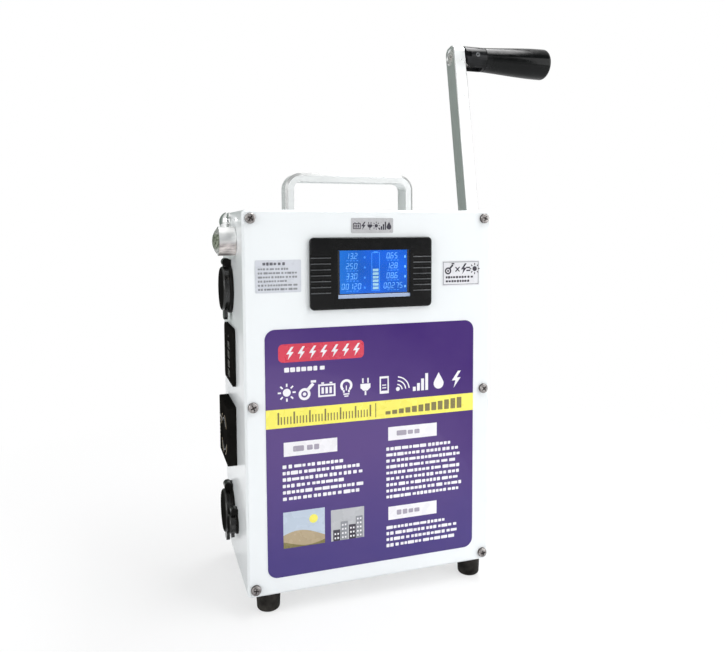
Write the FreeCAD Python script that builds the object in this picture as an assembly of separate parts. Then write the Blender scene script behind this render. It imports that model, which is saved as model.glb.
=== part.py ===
import FreeCAD, Part
import math
import os

# Hand crank generator: a box power station with a side crank, front energy meter and side outlets.
# Millimetres. +Z up from the plane the feet stand on, front face toward -Y, crank on +X, outlets on -X.
os.makedirs("parts", exist_ok=True)
V = FreeCAD.Vector

# ---- case ----
case_w = 183.2
case_d = 106.0
case_h = 264.5
wall = 1.5
cover_t = 2.0
corner_r = 3.0
cover_bevel = 1.4
seam = 0.4
boss_size = 9.0
boss_len = 8.0
screw_inset_x = 5.5
screw_inset_z = 5.8
# ---- fits ----
run_fit = 0.05
thread_fit = 0.05
slide_fit = 0.06
seat_gap = 0.2
# ---- cover screws ----
screw_r = 1.95
screw_len = 9.5
screw_head_r = 3.5
screw_head_h = 2.2
# ---- feet ----
foot_h = 15.0
foot_top_r = 8.7
foot_bottom_r = 8.0
foot_edge = 2.2
foot_left_x = -75.4
foot_right_x = 81.4
foot_y = 40.0
foot_recess_r = 3.6
foot_screw_r = 1.5
# ---- carry handle ----
handle_x = -1.8
handle_y = 0.9
handle_w = 101.3
handle_rise = 28.7
handle_t = 6.4
handle_depth = 16.9
handle_corner_r = 12.0
handle_edge = 2.0
handle_screw_r = 2.4
handle_screw_len = 14.0
# ---- front labels ----
label_t = 0.25
main_label_w = 155.4
main_label_z0 = 11.9
main_label_z1 = 184.1
main_label_r = 7.0
small_label_r = 0.8
title_x = -1.1
title_drop = 10.7
title_w = 31.0
title_h = 10.4
notes_shift = 1.25
notes_drop = 44.5
notes_w = 31.2
notes_h = 22.0
formula_drop = 45.5
formula_w = 30.0
formula_h = 18.2
# ---- energy meter ----
meter_x = -1.7
meter_drop = 43.6
bezel_w = 89.6
bezel_h = 49.6
bezel_t = 3.0
bezel_edge = 1.2
bezel_corner_r = 3.2
skirt_w = 84.6
skirt_h = 44.6
skirt_len = 21.4
skirt_wall = 1.2
window_w = 53.0
window_h = 33.0
window_t = 1.2
window_sink = 0.9
window_right = 1.3
window_down = 0.7
ledge_h = 3.1
lcd_t = 2.5
meter_post_len = 4.5
board_t = 1.6
groove_pitch = 4.0
groove_h = 1.6
groove_len = 14.5
groove_deep = 0.9
key_size = 5.2
key_x = 37.7
key_proud = 0.4
key_travel = 0.5
# ---- lamp on the side ----
lamp_y = -19.0
lamp_drop = 21.1
lamp_r = 10.2
lamp_len = 11.8
lamp_dome = 3.9
lamp_cup_r = 9.1
lamp_cup_deep = 9.8
m12_r = 5.9
m12_nut_af = 14.0
m12_nut_t = 3.5
lamp_stem_len = 13.0
# ---- push switch on the side ----
switch_y = 7.0
switch_drop = 7.3
switch_bezel_r = 6.8
switch_bezel_t = 1.4
switch_stem_r = 3.6
switch_nut_af = 9.2
switch_nut_t = 2.4
switch_len = 20.0
switch_bore_deep = 6.0
button_r = 7.0
button_dome = 4.4
button_rim = 0.4
button_stem_r = 2.6
button_travel = 1.2
# ---- round sockets with flip caps ----
lighter_y = 8.0
lighter_drop = 56.5
lighter2_y = 20.5
lighter2_z = 34.2
lighter_flange_r = 18.3
lighter_flange_t = 2.4
lighter_cap_r = 16.4
lighter_cap_t = 5.0
lighter_hinge_r = 3.0
lighter_tab = 6.5
lighter_plug = 2.6
liner_t = 0.9
lighter_barrel_r = 14.0
lighter_bore_r = 10.6
lighter_depth = 42.0
lighter_nut_r = 17.4
contact_h = 3.0
jack_y = -6.0
jack_z = 34.2
jack_flange_r = 7.6
jack_flange_t = 1.8
jack_bore_r = 3.4
jack_depth = 14.0
jack_cap_r = 7.0
jack_cap_t = 5.0
jack_hinge_r = 2.5
jack_tab = 3.2
jack_plug = 1.6
jack_pin_r = 1.05
socket_back = 2.5
hinge_clear = 0.3
# ---- fast charge plate ----
usb_y = 11.0
usb_gap_share = 0.356
usb_w = 48.0
usb_h = 42.6
usb_t = 2.3
usb_body_w = 38.0
usb_body_deep = 12.0
tray_wall = 1.4
port_w = 13.2
port_h = 5.8
port_fit = 0.1
port_pitch = 7.0
port_drop = 4.4
port_count = 4
led_r = 1.5
led_rise = 13.0
# ---- mains outlet ----
ac_y = 12.0
ac_gap_share = 0.524
ac_w = 46.0
ac_h = 43.3
ac_proud = 7.0
ac_body = 40.0
ac_body_deep = 24.0
ac_face_t = 2.5
rocker_dy = 12.0
rocker_w = 9.0
rocker_r = 10.5
rocker_tilt = 8.0
rocker_sink = 4.0
# ---- crank ----
crank_drop = 34.9
arm_gap = 7.0
arm_t = 10.6
arm_w = 16.0
arm_len = 169.4
arm_past = 9.2
arm_end_r = 6.0
arm_lean = 10.75
arm_hub_r = 11.0
shaft_r = 6.0
square = 8.0
housing_r = 15.0
housing_t = 4.0
housing_barrel_r = 10.0
# ---- folding grip ----
pin_out = 10.8
tongue_t = 8.0
tongue_r = 6.0
collar_r = 10.0
collar_len = 19.4
notch_len = 5.0
notch_h = 4.4
notch_deep = 1.8
neck_r = 7.0
neck_len = 10.0
spindle_r = 4.0
grip_end_r = 13.0
grip_len = 61.8
seam_angle = 55.0
seam_w = 0.5
seam_deep = 0.4
seam_end = 1.9
pin_r = 2.0
pin_bore_r = 0.9
# ---- gears ----
gear_m = 1.0
pressure = 25.0
crank_teeth = 60
pinion_teeth = 15
wheel_teeth = 48
rotor_teeth = 12
backlash = 0.12
gear_face = 8.0
plate_in = 32.1
plate_t = 3.0
gear_stand = 5.0
idler_pin_r = 3.0
# ---- generator ----
gen_r = 27.0
gen_len = 62.0
gen_shell = 2.0
rotor_drum_r = 19.0
rotor_shaft_r = 2.5
# ---- battery ----
cell_r = 9.2
cell_len = 65.0
cell_pitch = 19.6
cell_cols = 4
cell_rows = 3
cell_gap_right = 20.1
holder_rim = 2.0
holder_deep = 8.0
holder_floor = 4.0
# ---- rear cover's air slots ----
slot_count = 9
slot_pitch = 9.0
slot_w = 3.2
slot_h = 34.0
slot_up = 60.0
slot_drop = 59.5
# ---- boards on the rear cover ----
stud_len = 9.4
stud_r = 3.0
stud_tip_r = 1.4
stud_in = 5.0
inv_x = 6.0
inv_up = 66.0
inv_w = 112.0
inv_h = 62.0
chg_x = 0.0
chg_drop = 20.5
chg_w = 92.0
chg_h = 82.0

z_box = foot_h
z_top = foot_h + case_h
y_front = -case_d / 2
y_back = case_d / 2
x_left = -case_w / 2
x_right = case_w / 2
screw_x = case_w / 2 - screw_inset_x
screw_zs = [z_box + screw_inset_z, z_box + case_h / 2, z_top - screw_inset_z]


# the origin is under the middle of the whole object, with the lamp and the grip as its ends
reach_left = x_left - lamp_len - lamp_dome
reach_right = x_right + arm_gap + arm_t + collar_len + seat_gap + grip_len
reach_front = y_front - bezel_t - key_proud
reach_back = y_back + screw_head_h
to_origin = V(-(reach_left + reach_right) / 2, -(reach_front + reach_back) / 2, 0)


def save(name, shape):
    placed = shape.copy()
    placed.translate(to_origin)
    placed.exportStep("parts/" + name + ".step")


def box(x0, x1, y0, y1, z0, z1):
    return Part.makeBox(x1 - x0, y1 - y0, z1 - z0, V(x0, y0, z0))


def cyl_x(x0, x1, y, z, r):
    return Part.makeCylinder(r, x1 - x0, V(x0, y, z), V(1, 0, 0))


def cyl_y(y0, y1, x, z, r):
    return Part.makeCylinder(r, y1 - y0, V(x, y0, z), V(0, 1, 0))


def cyl_z(z0, z1, x, y, r):
    return Part.makeCylinder(r, z1 - z0, V(x, y, z0), V(0, 0, 1))


def cone_x(x0, x1, y, z, r0, r1):
    return Part.makeCone(r0, r1, x1 - x0, V(x0, y, z), V(1, 0, 0))


def tube_x(x0, x1, y, z, ro, ri):
    return cyl_x(x0, x1, y, z, ro).cut(cyl_x(x0 - 1, x1 + 1, y, z, ri))


def hex_x(x0, x1, y, z, across, turn=0.0):
    pts = []
    for i in range(7):
        a = math.radians(60 * i + turn)
        pts.append(V(x0, y + across / math.sqrt(3) * math.cos(a), z + across / math.sqrt(3) * math.sin(a)))
    return Part.Face(Part.makePolygon(pts)).extrude(V(x1 - x0, 0, 0))


def edges_along(shape, axis, test=None):
    found = []
    for e in shape.Edges:
        if len(e.Vertexes) != 2:
            continue
        d = e.Vertexes[1].Point - e.Vertexes[0].Point
        if d.Length < 1e-6 or not isinstance(e.Curve, Part.Line):
            continue
        d.normalize()
        if abs(abs(d.dot(axis)) - 1) < 1e-6 and (test is None or test(e.CenterOfMass)):
            found.append(e)
    return found


def edges_at(shape, test):
    return [e for e in shape.Edges if test(e.BoundBox)]


def round_box(x0, x1, y0, y1, z0, z1, r, axis):
    b = box(x0, x1, y0, y1, z0, z1)
    return b.makeFillet(r, edges_along(b, axis))


def on_plane(bb, name, value):
    lo = getattr(bb, name + "Min")
    hi = getattr(bb, name + "Max")
    return abs(lo - value) < 1e-4 and abs(hi - value) < 1e-4


def revolve_x(profile, y, z):
    """Turn (x, r) points about the line through (y, z) along X."""
    pts = [V(x, y, z + r) for x, r in profile]
    pts.append(pts[0])
    return Part.Face(Part.makePolygon(pts)).revolve(V(0, y, z), V(1, 0, 0), 360)


def domed_plug(base_x, dome, r, length, y, z):
    """Plug along X with a dome toward -X; the dome starts at base_x, the plain part runs on by length."""
    ball = (r * r + dome * dome) / (2 * dome)
    half_turn = math.asin(r / ball) / 2
    tip = V(base_x - dome, y, z)
    rim = V(base_x, y, z + r)
    mid = V(base_x - dome + ball * (1 - math.cos(half_turn)), y, z + ball * math.sin(half_turn))
    arc = Part.Arc(tip, mid, rim).toShape()
    rest = Part.makePolygon([rim, V(base_x + length, y, z + r), V(base_x + length, y, z), tip])
    face = Part.Face(Part.Wire([arc] + rest.Edges))
    return face.revolve(V(0, y, z), V(1, 0, 0), 360)


# ---- case shell: four walls with bosses for the cover screws ----
shell_y0 = y_front + cover_t
shell_y1 = y_back - cover_t
outer = round_box(x_left, x_right, shell_y0, shell_y1, z_box, z_top, corner_r, V(0, 1, 0))
inner = round_box(x_left + wall, x_right - wall, shell_y0 - 1, shell_y1 + 1, z_box + wall, z_top - wall,
                  corner_r - wall, V(0, 1, 0))
for seam_y in (shell_y0, shell_y1):
    outer = outer.makeChamfer(seam, edges_at(outer, lambda bb: on_plane(bb, "Y", seam_y)))
shell = outer.cut(inner)
boss_reach = screw_inset_x + boss_size / 2
for side in (-1, 1):
    for sz in screw_zs:
        for end in (-1, 1):
            xa = side * (case_w / 2 - wall / 2)
            xb = side * (case_w / 2 - boss_reach)
            ya = shell_y0 if end < 0 else shell_y1 - boss_len
            za = max(sz - boss_size / 2, z_box + wall / 2)
            zb = min(sz + boss_size / 2, z_top - wall / 2)
            boss = box(min(xa, xb), max(xa, xb), ya, ya + boss_len, za, zb)
            bore = cyl_y(ya - 1, ya + boss_len + 1, side * screw_x, sz, screw_r + thread_fit)
            shell = shell.fuse(boss).cut(bore)

lamp_c = (lamp_y, z_top - lamp_drop)
switch_c = (switch_y, z_top - switch_drop)
lighter_c = (lighter_y, z_top - lighter_drop)
lighter2_c = (lighter2_y, z_box + lighter2_z)
jack_c = (jack_y, z_box + jack_z)
# the outlet and the charge plate share out the free height between the upper tab and the lower hinge
column_high = lighter_c[1] - lighter_cap_r - lighter_tab
column_low = lighter2_c[1] + lighter_cap_r + 2 * lighter_hinge_r + hinge_clear
column_free = column_high - column_low - usb_h - ac_h
ac_c = (ac_y, column_low + column_free * ac_gap_share + ac_h / 2)
usb_c = (usb_y, ac_c[1] + ac_h / 2 + column_free * usb_gap_share + usb_h / 2)
# four ports stand in a column below a small light, and the tray behind the plate holds them all
port_cut_w = port_w + 2 * port_fit
port_cut_h = port_h + 2 * port_fit
port_low = usb_c[1] - port_drop - (port_count - 1) / 2 * port_pitch
ports = [(usb_y, port_low + i * port_pitch) for i in range(port_count)]
led_z = usb_c[1] + led_rise
tray_edge = tray_wall + 0.4
tray_low = port_low - port_cut_h / 2 - tray_edge
tray_high = led_z + led_r + tray_edge
tray_h = tray_high - tray_low
tray_c = (usb_y, (tray_low + tray_high) / 2)
crank_c = (0.0, z_top - crank_drop)
x_in = x_left + wall
x_rin = x_right - wall
plate_x = x_rin - plate_in


def left_hole(c, r):
    return cyl_x(x_left - 1, x_in + 1, c[0], c[1], r)


def left_window(c, w, h):
    return box(x_left - 1, x_in + 1, c[0] - w / 2, c[0] + w / 2, c[1] - h / 2, c[1] + h / 2)


shell = shell.cut(left_hole(lamp_c, m12_r + 0.1))
shell = shell.cut(left_hole(switch_c, switch_stem_r + 0.1))
shell = shell.cut(left_hole(jack_c, m12_r + 0.1))
shell = shell.cut(left_hole(lighter_c, lighter_barrel_r + 0.1))
shell = shell.cut(left_hole(lighter2_c, lighter_barrel_r + 0.1))
shell = shell.cut(left_window(tray_c, usb_body_w + 0.4, tray_h + 0.4))
shell = shell.cut(left_window(ac_c, ac_body + 0.4, ac_body + 0.4))
shell = shell.cut(cyl_x(x_rin - 1, x_right + 1, crank_c[0], crank_c[1], housing_barrel_r))
foot_spots = [(fx, side * foot_y) for fx in (foot_left_x, foot_right_x) for side in (-1, 1)]
for cx, cy in foot_spots:
    shell = shell.cut(cyl_z(z_box - 1, z_box + wall + 1, cx, cy, foot_screw_r + 0.1))
leg_out = handle_w / 2 - handle_t / 2
handle_legs = [handle_x - leg_out, handle_x + leg_out]
for hx in handle_legs:
    shell = shell.cut(cyl_z(z_top - wall - 1, z_top + 1, hx, handle_y, handle_screw_r + 0.1))

# ---- gearbox pillars sit on the right wall, their screws come in from outside ----
idler_c = (0.0, crank_c[1] - gear_m * (crank_teeth + pinion_teeth) / 2)
gen_c = (0.0, idler_c[1] - gear_m * (wheel_teeth + rotor_teeth) / 2)
pillar_y = 36.0
pillar_z_top = crank_c[1] + 18.0
pillar_z_low = gen_c[1] - 12.0
pillars = [(side * pillar_y, pz) for pz in (pillar_z_top, pillar_z_low) for side in (-1, 1)]
for py, pz in pillars:
    shell = shell.cut(cyl_x(x_rin - 1, x_right + 1, py, pz, screw_r + 0.1))
save("case_shell", shell)


def cover_plate(outer_y, inward):
    ya = min(outer_y, outer_y + inward * cover_t)
    plate = round_box(x_left, x_right, ya, ya + cover_t, z_box, z_top, corner_r, V(0, 1, 0))
    rim = edges_at(plate, lambda bb: on_plane(bb, "Y", outer_y))
    plate = plate.makeChamfer(cover_bevel, rim)
    for side in (-1, 1):
        for sz in screw_zs:
            plate = plate.cut(cyl_y(ya - 1, ya + cover_t + 1, side * screw_x, sz, screw_r + 0.15))
    return plate


meter_c = (meter_x, z_top - meter_drop)
front = cover_plate(y_front, 1)
cut_w = skirt_w / 2 + 0.15
cut_h = skirt_h / 2 + 0.15
front = front.cut(box(meter_c[0] - cut_w, meter_c[0] + cut_w, y_front - 1, y_front + cover_t + 1,
                      meter_c[1] - cut_h, meter_c[1] + cut_h))
save("front_cover", front)

# ---- rear cover: two banks of slots, and studs that carry the two circuit boards ----
rear = cover_plate(y_back, -1)
for bank_z in (z_box + slot_up, z_top - slot_drop):
    for i in range(slot_count):
        vx = (i - (slot_count - 1) / 2) * slot_pitch
        slot = round_box(vx - slot_w / 2, vx + slot_w / 2, y_back - cover_t - 1, y_back + 1,
                         bank_z - slot_h / 2, bank_z + slot_h / 2, slot_w / 2 - 0.1, V(0, 1, 0))
        rear = rear.cut(slot)
inv_board = (inv_x - inv_w / 2, inv_x + inv_w / 2, z_box + inv_up, z_box + inv_up + inv_h)
chg_board = (chg_x - chg_w / 2, chg_x + chg_w / 2, z_top - chg_drop - chg_h, z_top - chg_drop)
studs = []
for bx0, bx1, bz0, bz1 in (inv_board, chg_board):
    for sx in (bx0 + stud_in, bx1 - stud_in):
        for sz in (bz0 + stud_in, bz1 - stud_in):
            studs.append((sx, sz))
stud_y = y_back - cover_t - stud_len
for sx, sz in studs:
    rear = rear.fuse(cyl_y(stud_y, y_back - cover_t / 2, sx, sz, stud_r))
    rear = rear.fuse(cyl_y(stud_y - board_t - 1.2, stud_y, sx, sz, stud_tip_r))
save("rear_cover", rear)


def pan_screw(shank_r, length, head_r, head_h):
    """Cross-head screw: head outside Y=0 toward -Y, shank toward +Y."""
    head = Part.makeCylinder(head_r, head_h, V(0, -head_h, 0), V(0, 1, 0))
    rim = edges_at(head, lambda bb: on_plane(bb, "Y", -head_h))
    head = head.makeFillet(head_h * 0.5, rim)
    screw = head.fuse(Part.makeCylinder(shank_r, length, V(0, 0, 0), V(0, 1, 0)))
    a = head_r * 0.56
    b = head_r * 0.13
    screw = screw.cut(box(-a, a, -head_h - 1, -head_h * 0.4, -b, b))
    return screw.cut(box(-b, b, -head_h - 1, -head_h * 0.4, -a, a))


cover_screw = pan_screw(screw_r, screw_len, screw_head_r, screw_head_h)
turns = [12, 67, 33, 81, 50, 21, 40, 5, 74, 28, 60, 15]
screws = []
n = 0
for end in (-1, 1):
    for side in (-1, 1):
        for sz in screw_zs:
            s = cover_screw.copy()
            s.rotate(V(0, 0, 0), V(0, 1, 0), turns[n])
            n = n + 1
            if end > 0:
                s.rotate(V(0, 0, 0), V(0, 0, 1), 180)
            s.translate(V(side * screw_x, end * case_d / 2, sz))
            screws.append(s)
save("cover_screws", Part.makeCompound(screws))

# ---- tapered rubber feet with screws up through the floor ----
feet = []
foot_screws = []
foot_recess = 6.0
foot_head_h = 2.4
foot_nut_t = 2.4
foot_nut_af = 5.5
for cx, cy in foot_spots:
    foot = Part.makeCone(foot_bottom_r, foot_top_r, foot_h, V(cx, cy, 0), V(0, 0, 1))
    foot = foot.makeFillet(foot_edge, edges_at(foot, lambda bb: on_plane(bb, "Z", 0.0)))
    foot = foot.cut(cyl_z(-1, foot_recess, cx, cy, foot_recess_r))
    foot = foot.cut(cyl_z(0, foot_h + 1, cx, cy, foot_screw_r + thread_fit))
    feet.append(foot)
    shank = cyl_z(foot_recess, z_box + 9.0, cx, cy, foot_screw_r)
    head_z = foot_recess - foot_head_h
    head = cyl_z(head_z, foot_recess, cx, cy, foot_recess_r - seat_gap)
    head = head.cut(box(cx - 2, cx + 2, cy - 0.45, cy + 0.45, head_z - 1, head_z + 1.2))
    head = head.cut(box(cx - 0.45, cx + 0.45, cy - 2, cy + 2, head_z - 1, head_z + 1.2))
    foot_screws.append(shank.fuse(head))
save("feet", Part.makeCompound(feet))
save("foot_screws", Part.makeCompound(foot_screws))
foot_nuts = []
for cx, cy in foot_spots:
    nut = hex_x(0, foot_nut_t, 0, 0, foot_nut_af, 30)
    nut = nut.cut(cyl_x(-1, foot_nut_t + 1, 0, 0, foot_screw_r + thread_fit))
    nut.rotate(V(0, 0, 0), V(0, 1, 0), -90)
    nut.translate(V(cx, cy, z_box + wall))
    foot_nuts.append(nut)
save("foot_nuts", Part.makeCompound(foot_nuts))

# ---- carry handle: flat bar bent to a U, screwed up through the roof ----
half = handle_w / 2
hy0 = handle_y - handle_depth / 2
hy1 = handle_y + handle_depth / 2
bar_z = z_top + handle_rise
h_out = box(handle_x - half, handle_x + half, hy0, hy1, z_top, bar_z)
h_out = h_out.makeFillet(handle_corner_r, edges_along(h_out, V(0, 1, 0), lambda p: p.z > z_top + 1))
rim = [e for e in h_out.Edges if e.BoundBox.ZMax > z_top + 1
       and (on_plane(e.BoundBox, "Y", hy0) or on_plane(e.BoundBox, "Y", hy1))]
h_out = h_out.makeChamfer(handle_edge, rim)
gap_half = half - handle_t
h_in = box(handle_x - gap_half, handle_x + gap_half, hy0 - 5, hy1 + 5, z_top - 1, bar_z - handle_t)
h_in = h_in.makeFillet(handle_corner_r - handle_t, edges_along(h_in, V(0, 1, 0), lambda p: p.z > z_top + 1))
handle = h_out.cut(h_in)
handle_screws = []
handle_head_r = 4.2
roof = z_top - wall
leg_bore_z = z_top + handle_screw_len - 1.0
for hx in handle_legs:
    handle = handle.cut(cyl_z(z_top - 1, leg_bore_z, hx, handle_y, handle_screw_r + thread_fit))
    hs = cyl_z(roof, leg_bore_z - 1.0, hx, handle_y, handle_screw_r)
    head = cyl_z(roof - 3.0, roof, hx, handle_y, handle_head_r)
    head = head.cut(box(hx - 2.4, hx + 2.4, handle_y - 0.5, handle_y + 0.5, roof - 4, roof - 1.6))
    head = head.cut(box(hx - 0.5, hx + 0.5, handle_y - 2.4, handle_y + 2.4, roof - 4, roof - 1.6))
    handle_screws.append(hs.fuse(head))
save("carry_handle", handle)
save("handle_screws", Part.makeCompound(handle_screws))


# ---- printed labels on the front cover ----
def label(cx, z0, z1, w, r):
    return round_box(cx - w / 2, cx + w / 2, y_front - label_t, y_front, z0, z1, r, V(0, 1, 0))


def small_label(cx, drop, w, h):
    cz = z_top - drop
    return label(cx, cz - h / 2, cz + h / 2, w, small_label_r)


# the two side labels sit between the meter's bezel and the cover's edges
notes_x = (x_left + meter_x - bezel_w / 2) / 2 + notes_shift
formula_x = (x_right + meter_x + bezel_w / 2) / 2
save("label_main", label(0.0, z_box + main_label_z0, z_box + main_label_z1, main_label_w, main_label_r))
save("label_title", small_label(title_x, title_drop, title_w, title_h))
save("label_notes", small_label(notes_x, notes_drop, notes_w, notes_h))
save("label_formula", small_label(formula_x, formula_drop, formula_w, formula_h))

# ---- energy meter ----
mx, mz = meter_c
face_m = y_front - bezel_t


def meter_block(w, h, ya, yb):
    return box(mx - w / 2, mx + w / 2, ya, yb, mz - h / 2, mz + h / 2)


bezel = meter_block(bezel_w, bezel_h, face_m, y_front)
bezel = bezel.makeFillet(bezel_corner_r, edges_along(bezel, V(0, 1, 0)))
bezel = bezel.makeFillet(bezel_edge, edges_at(bezel, lambda bb: on_plane(bb, "Y", face_m)))
skirt = meter_block(skirt_w, skirt_h, y_front, y_front + skirt_len)
skirt = skirt.cut(meter_block(skirt_w - 2 * skirt_wall, skirt_h - 2 * skirt_wall, y_front,
                              y_front + skirt_len - skirt_wall))
bezel = bezel.fuse(skirt)
win = (mx + window_right, mz - window_down)


def window_block(w, h, ya, yb):
    return box(win[0] - w / 2, win[0] + w / 2, ya, yb, win[1] - h / 2, win[1] + h / 2)


bezel = bezel.cut(window_block(window_w, window_h, face_m - 1, y_front + 0.001))
# a sloping ledge closes the lower edge of the window's recess
win_x0 = win[0] - window_w / 2
win_z0 = win[1] - window_h / 2
ledge_pts = [V(win_x0, face_m + 0.15, win_z0 - 0.1), V(win_x0, face_m + window_sink, win_z0 + ledge_h),
             V(win_x0, face_m + window_sink, win_z0 - 0.1)]
ledge_pts.append(ledge_pts[0])
bezel = bezel.fuse(Part.Face(Part.makePolygon(ledge_pts)).extrude(V(window_w, 0, 0)))
# seven grooves run out through each end; the key takes the middle one's place at the right
for i in range(7):
    gz = mz + (i - 3) * groove_pitch
    for side in (-1, 1):
        if side > 0 and i == 3:
            continue
        end_x = mx + side * (bezel_w / 2 + 1)
        in_x = mx + side * (bezel_w / 2 - groove_len)
        bezel = bezel.cut(box(min(end_x, in_x), max(end_x, in_x), face_m - 1, face_m + groove_deep,
                              gz - groove_h / 2, gz + groove_h / 2))
kx = mx + key_x
kz = mz
ks = key_size / 2
key_hole = ks + slide_fit
bezel = bezel.cut(box(kx - key_hole, kx + key_hole, face_m - 1, y_front + 0.5, kz - key_hole, kz + key_hole))
for px in (-38.0, 32.5):
    for pz in (-18.0, 18.0):
        bezel = bezel.fuse(cyl_y(y_front - 0.5, y_front + meter_post_len, mx + px, mz + pz, 2.0))
terminal_x = mx - 30.0
skirt_back = y_front + skirt_len
terminal_w = 24.0
bezel = bezel.cut(box(terminal_x, terminal_x + terminal_w, skirt_back - skirt_wall - 1, skirt_back + 1,
                      mz - 4, mz + 4))
save("meter_housing", bezel)
glass_y = face_m + window_sink
window = window_block(window_w - 0.2, window_h - 0.2, glass_y, glass_y + window_t)
save("meter_window", window)
lcd = window_block(window_w - 0.2, window_h - 0.2, glass_y + window_t, y_front)
lcd = lcd.fuse(window_block(window_w + 3.0, window_h + 2.0, y_front, y_front + lcd_t))
save("meter_lcd", lcd)
mb_y = y_front + meter_post_len
mb_back = mb_y + board_t
mboard = meter_block(80.0, 40.0, mb_y, mb_back)
tact_y = y_front + 1.0 + key_travel + 0.05
mboard = mboard.fuse(cyl_y(tact_y, mb_y + 0.1, kx, kz, 1.7))
mboard = mboard.fuse(box(kx - ks, kx + ks, mb_y - 1.6, mb_y + 0.1, kz - 3, kz + 3))
mboard = mboard.fuse(box(terminal_x + 1, terminal_x + terminal_w - 1, mb_back - 0.1, skirt_back + 2.0,
                         mz - 3.6, mz + 3.6))
mboard = mboard.fuse(box(mx + 5, mx + 19, mb_back - 0.1, mb_back + 1.6, mz - 7, mz + 7))
mboard = mboard.fuse(cyl_y(mb_back - 0.1, mb_back + 9, mx + 28, mz + 8, 4.0))
save("meter_board", mboard)
key_face = face_m - key_proud
key = box(kx - ks, kx + ks, key_face, y_front + 0.01, kz - ks, kz + ks)
key = key.makeFillet(0.35, edges_at(key, lambda bb: on_plane(bb, "Y", key_face)))
key = key.fuse(box(kx - ks, kx + ks, y_front, y_front + 1.0, kz - ks - 1.5, kz + ks + 1.5))
save("meter_key", key)


# ---- lamp: chrome cup on an M12 stem, reflector with its diode, domed glass ----
def wall_nut(c, af, t, r):
    nut = hex_x(x_in, x_in + t, c[0], c[1], af)
    return nut.cut(cyl_x(x_in - 1, x_in + t + 1, c[0], c[1], r + thread_fit))


ly, lz = lamp_c
lamp = cyl_x(x_left - lamp_len, x_left, ly, lz, lamp_r)
lamp = lamp.makeFillet(0.8, edges_at(lamp, lambda bb: on_plane(bb, "X", x_left)))
lamp = lamp.fuse(cyl_x(x_left - 0.5, x_left + lamp_stem_len, ly, lz, m12_r))
lens_r = lamp_cup_r + 0.6
lamp = lamp.cut(cyl_x(x_left - lamp_len - 1, x_left - lamp_len + 1.2, ly, lz, lens_r + 0.05))
lamp = lamp.cut(cyl_x(x_left - lamp_len - 1, x_left - lamp_len + lamp_cup_deep, ly, lz, lamp_cup_r))
lamp = lamp.cut(cyl_x(x_left - 4, x_left + lamp_stem_len + 1, ly, lz, 2.5))
save("lamp_body", lamp)
rx0 = x_left - lamp_len + 1.2
rx1 = x_left - lamp_len + lamp_cup_deep
reflector = revolve_x([(rx0, lamp_cup_r - 0.05), (rx1, lamp_cup_r - 0.05), (rx1, 0.01), (rx1 - 1.0, 0.01),
                       (rx1 - 1.0, 3.0), (rx0 + 2.4, 5.6), (rx0, lamp_cup_r - 0.7)], ly, lz)
reflector = reflector.fuse(box(rx1 - 1.8, rx1 - 0.9, ly - 1.7, ly + 1.7, lz - 1.7, lz + 1.7))
save("lamp_reflector", reflector)
cap_base = x_left - lamp_len
lens = domed_plug(cap_base, lamp_dome, lens_r, 1.2, ly, lz)
save("lamp_lens", lens)

# ---- push switch with a round domed button that stands off its ring by the travel ----
sy, sz = switch_c
ring_face = x_left - switch_bezel_t
sw = cyl_x(ring_face, x_left, sy, sz, switch_bezel_r)
sw = sw.makeFillet(0.5, edges_at(sw, lambda bb: on_plane(bb, "X", ring_face)))
sw = sw.fuse(cyl_x(x_left - 0.5, x_left + switch_len, sy, sz, switch_stem_r))
sw = sw.cut(cyl_x(ring_face - 1, x_left + switch_bore_deep, sy, sz, button_stem_r + slide_fit))
switch_back = x_left + switch_len
for ty in (-2.4, 2.4):
    sw = sw.fuse(box(switch_back - 0.5, switch_back + 5, sy + ty - 0.4, sy + ty + 0.4, sz - 1.2, sz + 1.2))
save("switch_body", sw)
button_back = ring_face - button_travel - seat_gap
button = domed_plug(button_back - button_rim, button_dome, button_r, button_rim, sy, sz)
stem_end = x_left + switch_bore_deep - button_travel - 0.3
button = button.fuse(cyl_x(button_back - 0.2, stem_end, sy, sz, button_stem_r))
save("switch_button", button)
nuts = [wall_nut(c, m12_nut_af, m12_nut_t, m12_r) for c in (lamp_c, jack_c)]
nuts.append(wall_nut(switch_c, switch_nut_af, switch_nut_t, switch_stem_r))
save("panel_nuts", Part.makeCompound(nuts))


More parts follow.
